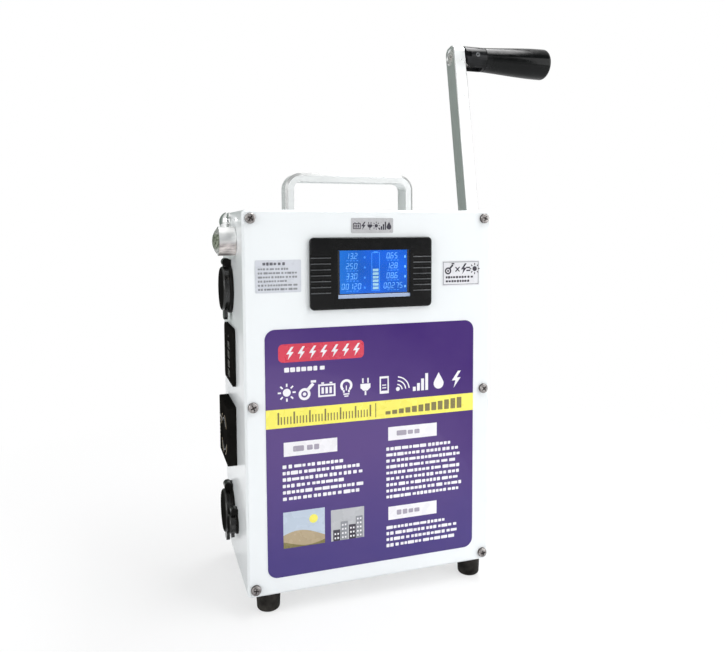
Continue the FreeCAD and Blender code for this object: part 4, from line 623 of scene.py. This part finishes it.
# Pictograms in a unit square. rect: left, low, width, height. disc: centre, radius.
# ring: centre, inner and outer radius, start and sweep in degrees. poly: its corners.
PICTOGRAMS = {
    "bolt": [("poly", [(0.62, 1.0), (0.22, 0.44), (0.46, 0.44), (0.34, 0.0), (0.80, 0.60),
                       (0.54, 0.60), (0.80, 1.0)])],
    "battery": [("rect", 0.0, 0.1, 0.1, 0.72), ("rect", 0.9, 0.1, 0.1, 0.72),
                ("rect", 0.1, 0.1, 0.8, 0.1), ("rect", 0.1, 0.72, 0.8, 0.1),
                ("rect", 0.19, 0.28, 0.14, 0.36), ("rect", 0.42, 0.28, 0.14, 0.36),
                ("rect", 0.65, 0.28, 0.14, 0.36),
                ("rect", 0.18, 0.84, 0.16, 0.08), ("rect", 0.66, 0.84, 0.16, 0.08)],
    "sun": [("disc", 0.5, 0.5, 0.22)] + [
        ("poly", bar_across(0.5, 0.5, math.tau * i / 8, 0.32, 0.5, 0.045)) for i in range(8)],
    "bulb": [("ring", 0.5, 0.64, 0.22, 0.36, -50, 280), ("rect", 0.3, 0.24, 0.1, 0.16),
             ("rect", 0.6, 0.24, 0.1, 0.16), ("rect", 0.32, 0.12, 0.36, 0.07),
             ("rect", 0.38, 0.0, 0.24, 0.07), ("rect", 0.47, 0.36, 0.06, 0.28)],
    "plug": [("poly", [(0.2, 0.66), (0.2, 0.42), (0.38, 0.26), (0.62, 0.26), (0.8, 0.42), (0.8, 0.66)]),
             ("rect", 0.3, 0.7, 0.09, 0.28), ("rect", 0.61, 0.7, 0.09, 0.28),
             ("rect", 0.45, 0.0, 0.1, 0.24)],
    "waves": [("disc", 0.2, 0.2, 0.12)] + [
        ("ring", 0.14, 0.14, r - 0.07, r, 5, 80) for r in (0.36, 0.58, 0.8)],
    "crank": [("ring", 0.36, 0.34, 0.19, 0.34, 0, 360), ("disc", 0.36, 0.34, 0.10),
              ("poly", [(0.48, 0.64), (0.63, 0.53), (0.93, 0.84), (0.79, 0.95)]),
              ("rect", 0.72, 0.95, 0.30, 0.13)],
    "phone": [("rect", 0.22, 0.0, 0.08, 1.0), ("rect", 0.70, 0.0, 0.08, 1.0),
              ("rect", 0.30, 0.0, 0.4, 0.16), ("rect", 0.30, 0.88, 0.4, 0.12),
              ("rect", 0.38, 0.3, 0.24, 0.06), ("rect", 0.38, 0.46, 0.24, 0.06)],
    "bars": [("rect", 0.26 * i, 0.0, 0.18, high) for i, high in enumerate((0.25, 0.45, 0.7, 1.0))],
    "drop": [("poly", [on_circle(0.5, 0.34, 0.32, math.radians(a)) for a in range(150, 391, 15)]
              + [(0.5, 1.0)])],
}


def pictogram(s, kind, u, w, k, ink):
    """Draw a pictogram k mm wide with its lower left corner at (u, w)."""
    for shape, *sizes in PICTOGRAMS[kind]:
        if shape == "poly":
            s.poly([(u + x * k, w + y * k) for x, y in sizes[0]], ink)
            continue
        x, y = u + sizes[0] * k, w + sizes[1] * k
        if shape == "rect":
            s.rect(x, y, sizes[2] * k, sizes[3] * k, ink)
        elif shape == "disc":
            s.disc(x, y, sizes[2] * k, ink)
        else:
            s.ring(x, y, sizes[2] * k, sizes[3] * k, ink, *sizes[4:])


def pictogram_row(s, kinds, u, w, pitch, k, ink):
    for i, kind in enumerate(kinds):
        pictogram(s, kind, u + i * pitch, w, k, ink)


def times_sign(s, u, w, k, ink):
    """Two crossing bars, one a little above the other."""
    for degrees, lift in ((45, PRINT_LIFT), (135, OVER_PRINT)):
        s.poly(bar_across(u + k / 2, w + k / 2, math.radians(degrees), -k / 2, k / 2, 0.09 * k), ink, lift)


# main label: a red pill with bolts and a line of print below it
s, width, height = on_label("print_main", "label_main")
s.rect(9, 149.5, 61, 12.5, "ink_red", 3.2)
s.over = OVER_PRINT
pictogram_row(s, ["bolt"] * 7, 12.6, 151.2, 7.9, 8.8, "ink_white")
s.over = 0.0
s.strokes(13, 142.6, 38, 1, 4, 3.4, "ink_white", 5)
# a row of plain pictograms
pictogram_row(s, ("sun", "crank", "battery", "bulb", "plug", "phone", "waves", "bars", "drop", "bolt"),
              8.4, 122.6, 14.1, 12.4, "ink_white")
# a yellow band with a scale, a divider and rising steps
BAND_LOW, BAND_HIGH = 104.6, 13.0
SCALE_MARKS, SCALE_PITCH, LONG_EVERY = 31, 2.2, 5
STEPS, STEP_PITCH, STEP_RISE = 12, 5.1, 0.52
s.rect(0.0, BAND_LOW, width, BAND_HIGH, "ink_yellow")
s.over = OVER_PRINT
for i in range(SCALE_MARKS):
    mark_w, mark_h = (0.8, 5.2) if i % LONG_EVERY else (1.15, 8.4)
    s.rect(8.0 + i * SCALE_PITCH, 107.0, mark_w, mark_h, "ink_olive")
s.rect(width / 2 + 0.6, 106.0, 0.6, 10.2, "ink_olive")
for i in range(STEPS):
    s.rect(86.0 + i * STEP_PITCH, 107.2, 3.8, 2.4 + STEP_RISE * i, "ink_olive", 0.4)
s.over = 0.0
# white headings with a line of print, as left, low and seed; then the rows below each of them
HEADING_W, HEADING_H = 38, 9.8
for u, w, seed in ((12, 84.5, 11), (88, 88.0, 12), (88, 29.5, 13)):
    s.rect(u, w, HEADING_W, HEADING_H, "ink_white")
    s.over = OVER_PRINT
    s.strokes(u + 6.5, w + 2.9, 25, 1, 4, 4.0, "ink_soft", seed)
    s.over = 0.0
s.strokes(11, 76.0, 58, 6, 4.5, 2.7, "ink_white", 21)
s.strokes(86.5, 80.6, 60, 9, 4.4, 2.6, "ink_white", 33)
s.strokes(86.5, 22.6, 58, 4, 4.4, 2.6, "ink_white", 44)

# first tile: pale sky, sun and two rounded hills
TILE_LOW = 20.0
SKY_LEFT, SKY_W, SKY_H, HILL_STEPS = 11.0, 29.5, 25.5, 16


def hill(base, swell, start, turns):
    """Outline of a hill across the tile: its wavy top between the tile's lower corners."""
    top = []
    for i in range(HILL_STEPS + 1):
        across = i / HILL_STEPS
        top.append((SKY_LEFT + SKY_W * across, base + swell * math.sin(start + turns * across)))
    return [(SKY_LEFT, TILE_LOW)] + top + [(SKY_LEFT + SKY_W, TILE_LOW)]


s.rect(SKY_LEFT, TILE_LOW, SKY_W, SKY_H, "ink_sky")
s.over = OVER_PRINT
s.disc(32.4, 38.6, 3.1, "ink_yellow")
s.poly(hill(27.5, 4.2, 0.4, 3.1), "ink_sand")
s.poly(hill(23.2, 2.6, 2.6, 3.6), "ink_olive", lift=TOP_LIFT)
s.over = 0.0
# second tile: four towers with lit windows, as left and height
STOREY, TOWER_W = 3.0, 5.2
s.rect(45, TILE_LOW, 24.5, 22.5, "ink_mid")
s.over = OVER_PRINT
for i, (u, high) in enumerate(((46.5, 8), (52.0, 13.5), (58.0, 10.5), (63.2, 16))):
    s.rect(u, TILE_LOW, TOWER_W, high, "ink_grey" if i % 2 else "ink_dark")
    for k in range(int(high // STOREY)):
        for window in (1.0, 3.1):
            s.rect(u + window, TILE_LOW + 1.4 + STOREY * k, 1.1, 1.2, "ink_white", lift=TOP_LIFT)
s.done("case", "label_purple")

# title strip: six small pictograms
s, width, height = on_label("print_title", "label_title")
pictogram_row(s, ("battery", "bolt", "plug", "sun", "bars", "drop"), 1.4, 2.2, (width - 2.6) / 6, 5.6,
              "ink_dark")
s.done("case", "label_silver")

# notes sheet: a heading and rows of fine strokes
s, width, height = on_label("print_notes", "label_notes")
s.strokes(5.0, 18.3, 20.0, 1, 4, 2.2, "ink_text", 7)
s.strokes(1.8, 15.2, 28.0, 6, 2.72, 1.5, "ink_grey", 8)
s.done("case", "label_grey")

# formula plate: a border, then crank times bolt equals sun over two fine rows
s, width, height = on_label("print_formula", "label_formula")
INSET, LINE = 0.7, 0.5
inner = INSET + LINE
along, upright = width - 2 * INSET, height - 2 * inner
for u, w, wide, high in ((INSET, INSET, along, LINE), (INSET, height - inner, along, LINE),
                         (INSET, inner, LINE, upright), (width - inner, inner, LINE, upright)):
    s.rect(u, w, wide, high, "ink_grey")
pictogram(s, "crank", 1.9, 8.3, 7.6, "ink_dark")
times_sign(s, 9.9, 9.6, 4.6, "ink_dark")
pictogram(s, "bolt", 13.2, 8.2, 8.0, "ink_dark")
for w in (10.4, 12.6):
    s.rect(19.3, w, 3.2, 1.0, "ink_dark")
pictogram(s, "sun", 22.0, 8.0, 8.2, "ink_dark")
s.strokes(2.8, 5.3, 24.4, 1, 3, 1.8, "ink_dark", 15)
s.strokes(2.8, 2.4, 24.4, 1, 3, 1.8, "ink_dark", 16)
s.done("case", "label_white")

# ---------------------------------------------------------------- display behind the window
win_lo, win_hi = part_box("meter_window")
INKS["lcd_mark"] = glowing("lcd_mark", (0.11, 0.33, 0.70), 0.85)
INKS["lcd_block"] = glowing("lcd_block", (0.18, 0.33, 0.42), 0.85)
INKS["lcd_faint"] = glowing("lcd_faint", (0.03, 0.18, 0.60), 0.9)
INKS["lcd_mask"] = print_material("lcd_mask", (0.006, 0.008, 0.012))
dress(glowing("lcd_blue", (0.001, 0.115, 0.455), 0.95, vary=0.15,
              side=(win_lo.x, win_lo.x + 0.020, (0.006, 0.175, 0.46))), "meter_lcd")

SEGMENTS = {"0": "abcdef", "1": "bc", "2": "abged", "3": "abgcd", "4": "fgbc", "5": "afgcd", "6": "afgedc",
            "7": "abc", "8": "abcdefg", "9": "abcdfg"}
DIGIT_W, SEGMENT_T, DIGIT_LEAN, DIGIT_PITCH, DOT = 0.52, 0.085, 0.12, 0.74, 0.12


def digit(s, char, u, w, k, ink):
    """Seven-segment figure k mm high, leaning a little."""
    wide, t = DIGIT_W * k, SEGMENT_T * k
    across, upright = wide - 2 * t, k / 2 - t * 0.8
    spots = {"a": (t, k - t, across, t), "g": (t, (k - t) / 2, across, t), "d": (t, 0, across, t),
             "f": (0, k / 2 + t * 0.3, t, upright), "b": (wide - t, k / 2 + t * 0.3, t, upright),
             "e": (0, t * 0.5, t, upright), "c": (wide - t, t * 0.5, t, upright)}
    for seg in SEGMENTS[char]:
        x, y, dx, dy = spots[seg]
        corners = ((x, y), (x + dx, y), (x + dx, y + dy), (x, y + dy))
        s.poly([(u + a + DIGIT_LEAN * b, w + b) for a, b in corners], ink, LCD_LIFT)


def number(s, text, u, w, k, ink):
    for char in text:
        if char == ".":
            s.rect(u - 0.14 * k, w, DOT * k, DOT * k, ink, lift=LCD_LIFT)
        else:
            digit(s, char, u, w, k, ink)
            u += DIGIT_PITCH * k


s = Sheet("lcd_marks", win_lo.x, win_lo.z, win_lo.y - 0.00002)
win_w, win_h = (win_hi.x - win_lo.x) / MM, (win_hi.z - win_lo.z) / MM
for u, wide in ((0.0, 1.3), (win_w - 1.9, 1.9)):
    s.rect(u, 0.0, wide, win_h, "lcd_mask", lift=LCD_LIFT)
# four rows of made-up readings, each with a unit's mark and a faint line below
TOP_ROW, ROW_PITCH, DIGIT_H = 27.0, 7.0, 4.0
ROWS = (("13.2", 5.6, "0.65", 35.4), ("2.50", 5.6, "12.8", 35.4), ("33.0", 5.6, "08.6", 35.4),
        ("00120", 2.4, "00275", 33.2))
for row, (left, left_u, right, right_u) in enumerate(ROWS):
    w = TOP_ROW - ROW_PITCH * row
    number(s, left, left_u, w, DIGIT_H, "lcd_mark")
    number(s, right, right_u, w, DIGIT_H, "lcd_mark")
    s.rect(18.8, w + 0.3, 1.1, 1.3, "lcd_faint", lift=LCD_LIFT)
    s.rect(48.9, w + 0.3, 1.1, 1.6, "lcd_mark", lift=LCD_LIFT)
    for k in range(4):
        for u in (6.0, 36.0):
            s.rect(u + 2.4 * k, w - 1.5, 1.5, 0.5, "lcd_faint", lift=LCD_LIFT)
# the charge gauge: a frame with a cap, six of its blocks lit
for u, w, wide, high in ((24.4, 4.6, 6.0, 0.35), (24.4, 31.0, 6.0, 0.35), (24.4, 4.95, 0.35, 26.05),
                         (30.05, 4.95, 0.35, 26.05), (26.0, 31.35, 2.8, 0.6)):
    s.rect(u, w, wide, high, "lcd_faint", lift=LCD_LIFT)
LIT_BLOCKS, BLOCK_PITCH = 6, 2.5
for i in range(LIT_BLOCKS):
    s.rect(25.3, 5.6 + BLOCK_PITCH * i, 4.2, 1.8, "lcd_block", lift=LCD_LIFT)
s.done("case", "lcd_blue")

# ---------------------------------------------------------------- marks on the outlet, painted glints
# raised arcs around the slots, as inner and outer radius, ink, starts and sweep; ribs at the side. Their
# pale colour is painted glints, standing in for the glints on the socket contacts.
ac_lo, ac_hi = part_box("ac_outlet")
ct_lo, ct_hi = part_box("ac_contacts")
s = Sheet("outlet_painted_glints", ac_lo.y, ac_lo.z, ac_lo.x, side=True)
slot_u = ((ct_lo.y + ct_hi.y) / 2 - ac_lo.y) / MM
slot_w = ((ct_lo.z + ct_hi.z) / 2 - ac_lo.z) / MM
for r0, r1, ink, starts, sweep in ((15.2, 15.7, "ink_sand", (15, 105, 195, 285), 48),
                                   (11.6, 12.0, "ink_grey", (40, 220), 100)):
    for start in starts:
        s.ring(slot_u, slot_w, r0, r1, ink, start, sweep, lift=MARK_LIFT)
RIBS, RIB_PITCH, RIB_INSET = 7, 2.9, 4.6
for k in range(RIBS):
    s.rect((ac_hi.y - ac_lo.y) / MM - RIB_INSET, 12.0 + RIB_PITCH * k, 2.2, 0.9, "ink_sand", lift=MARK_LIFT)
s.done("case", "black_plastic")

# ---------------------------------------------------------------- camera, light, room
# the camera that was fitted to the photograph
cam_data = bpy.data.cameras.new("camera")
cam_data.sensor_width = 36.0
cam_data.lens = 33.556
cam_data.shift_x = 0.0052
cam_data.shift_y = -0.0653
cam_data.clip_start = 0.01
CAMERA_AT = Vector((-0.198527, -0.499381, 0.264695))
CAMERA_RIGHT = Vector((0.950180, -0.311658, -0.005284))
CAMERA_AHEAD = Vector((0.310565, 0.948022, -0.069305))
CAMERA_UP = Vector((0.026609, 0.064211, 0.997582))
cam = link_in("camera", cam_data)
turned = Matrix((CAMERA_RIGHT, CAMERA_UP, -CAMERA_AHEAD)).transposed()
cam.matrix_world = Matrix.Translation(CAMERA_AT) @ turned.to_4x4()
bpy.context.scene.camera = cam


def area_light(name, where, target, size, power):
    """Soft lamp aimed at a point, or straight down with its long side along Y."""
    data = bpy.data.lights.new(name, "AREA")
    data.shape = "RECTANGLE"
    data.size, data.size_y = size
    data.energy = power
    lamp = link_in(name, data)
    lamp.location = where
    if target is not None:
        aim = Vector(target) - Vector(where)
        lamp.rotation_euler = aim.to_track_quat("-Z", "Y").to_euler()


area_light("soft_top", (0.53, -0.15, 1.6), None, (0.36, 1.9), 25)
area_light("soft_front", (1.25, -1.05, 0.65), (0, 0, 0.22), (1.2, 1.2), 13.5)
area_light("soft_left", (-1.50, -0.60, 0.75), (-0.1, 0, 0.2), (0.9, 0.9), 11)

# the room: white for the camera, mirrored and transmitted rays, dim for the light that it sheds
ROOM_STRENGTH = 0.32
world = bpy.data.worlds.new("studio")
bpy.context.scene.world = world
world.use_nodes = True
wt = world.node_tree
wt.nodes.clear()


def room_node(kind, inputs=None, **props):
    return add_node(wt, kind, inputs or {}, props)


path = room_node("ShaderNodeLightPath").outputs
toward = room_node("ShaderNodeTexCoord").outputs["Generated"]


def room_side(direction, lo, hi, below, colour):
    """Blend colour over below toward one side of the room, for mirrored rays only."""
    along = room_node("ShaderNodeVectorMath", {0: toward, 1: direction}, operation="DOT_PRODUCT")
    part = room_node("ShaderNodeMapRange", {0: along.outputs["Value"], 1: lo, 2: hi},
                     interpolation_type="SMOOTHSTEP")
    mirrored = room_node("ShaderNodeMath", {0: part.outputs[0], 1: path["Is Glossy Ray"]},
                         operation="MULTIPLY")
    blend = {0: mirrored.outputs[0], 6: below, 7: colour}
    return room_node("ShaderNodeMix", blend, data_type="RGBA").outputs[2]


# mirrored rays meet a grey card behind at the left, and a dark part high up in front
walls = room_side((-0.5, 0.86, -0.1), 0.30, 0.85, (1.0, 1.0, 1.0), (0.20, 0.24, 0.215))
walls = room_side((0.25, -0.80, 0.55), 0.70, 0.93, walls, (0.22, 0.23, 0.24))
seen = path["Is Camera Ray"]
for ray in ("Is Glossy Ray", "Is Transmission Ray"):
    seen = room_node("ShaderNodeMath", {0: seen, 1: path[ray]}, operation="MAXIMUM").outputs[0]
dim = room_node("ShaderNodeBackground", {"Color": (0.97, 0.985, 1.0), "Strength": ROOM_STRENGTH})
bright = room_node("ShaderNodeBackground", {"Color": walls, "Strength": 1.0})
pick = room_node("ShaderNodeMixShader", {0: seen, 1: dim.outputs[0], 2: bright.outputs[0]})
room_node("ShaderNodeOutputWorld", {0: pick.outputs[0]})

bpy.context.scene.view_settings.view_transform = "Standard"

# floor: a wide pale disc that keeps the shadow near the object and fades to the background
FLOOR_R, FLOOR_SEGMENTS, FLOOR_SINK = 1.3, 96, 0.0002
FADE_FROM, FADE_TO, LEAST_GLOW = 0.12, 0.55, 0.62
bm = bmesh.new()
bmesh.ops.create_circle(bm, cap_ends=True, radius=FLOOR_R, segments=FLOOR_SEGMENTS)
floor_mesh = bpy.data.meshes.new("floor")
bm.to_mesh(floor_mesh)
bm.free()
floor = link_in("floor", floor_mesh)
floor.location = (0, 0, -FLOOR_SINK)
g = Graph("floor_pale")
flat = g.axes()
g.shade(Base_Color=g.mix(g.blotches(3.0), (0.93, 0.93, 0.935), (0.95, 0.95, 0.955)), Roughness=0.6,
        Specular_IOR_Level=0.2)
glow = g.node("ShaderNodeEmission", {"Strength": 1.0})
to_camera = g.node("ShaderNodeLightPath").outputs["Is Camera Ray"]
faded = g.times(g.span(g.length(flat[0], flat[1]), FADE_FROM, FADE_TO, LEAST_GLOW, 1.0), to_camera)
blend = g.node("ShaderNodeMixShader", {0: faded, 1: g.shader.outputs[0], 2: glow.outputs[0]})
feed(g.tree, g.out.inputs[0], blend.outputs[0])
floor_mesh.materials.append(g.mat)
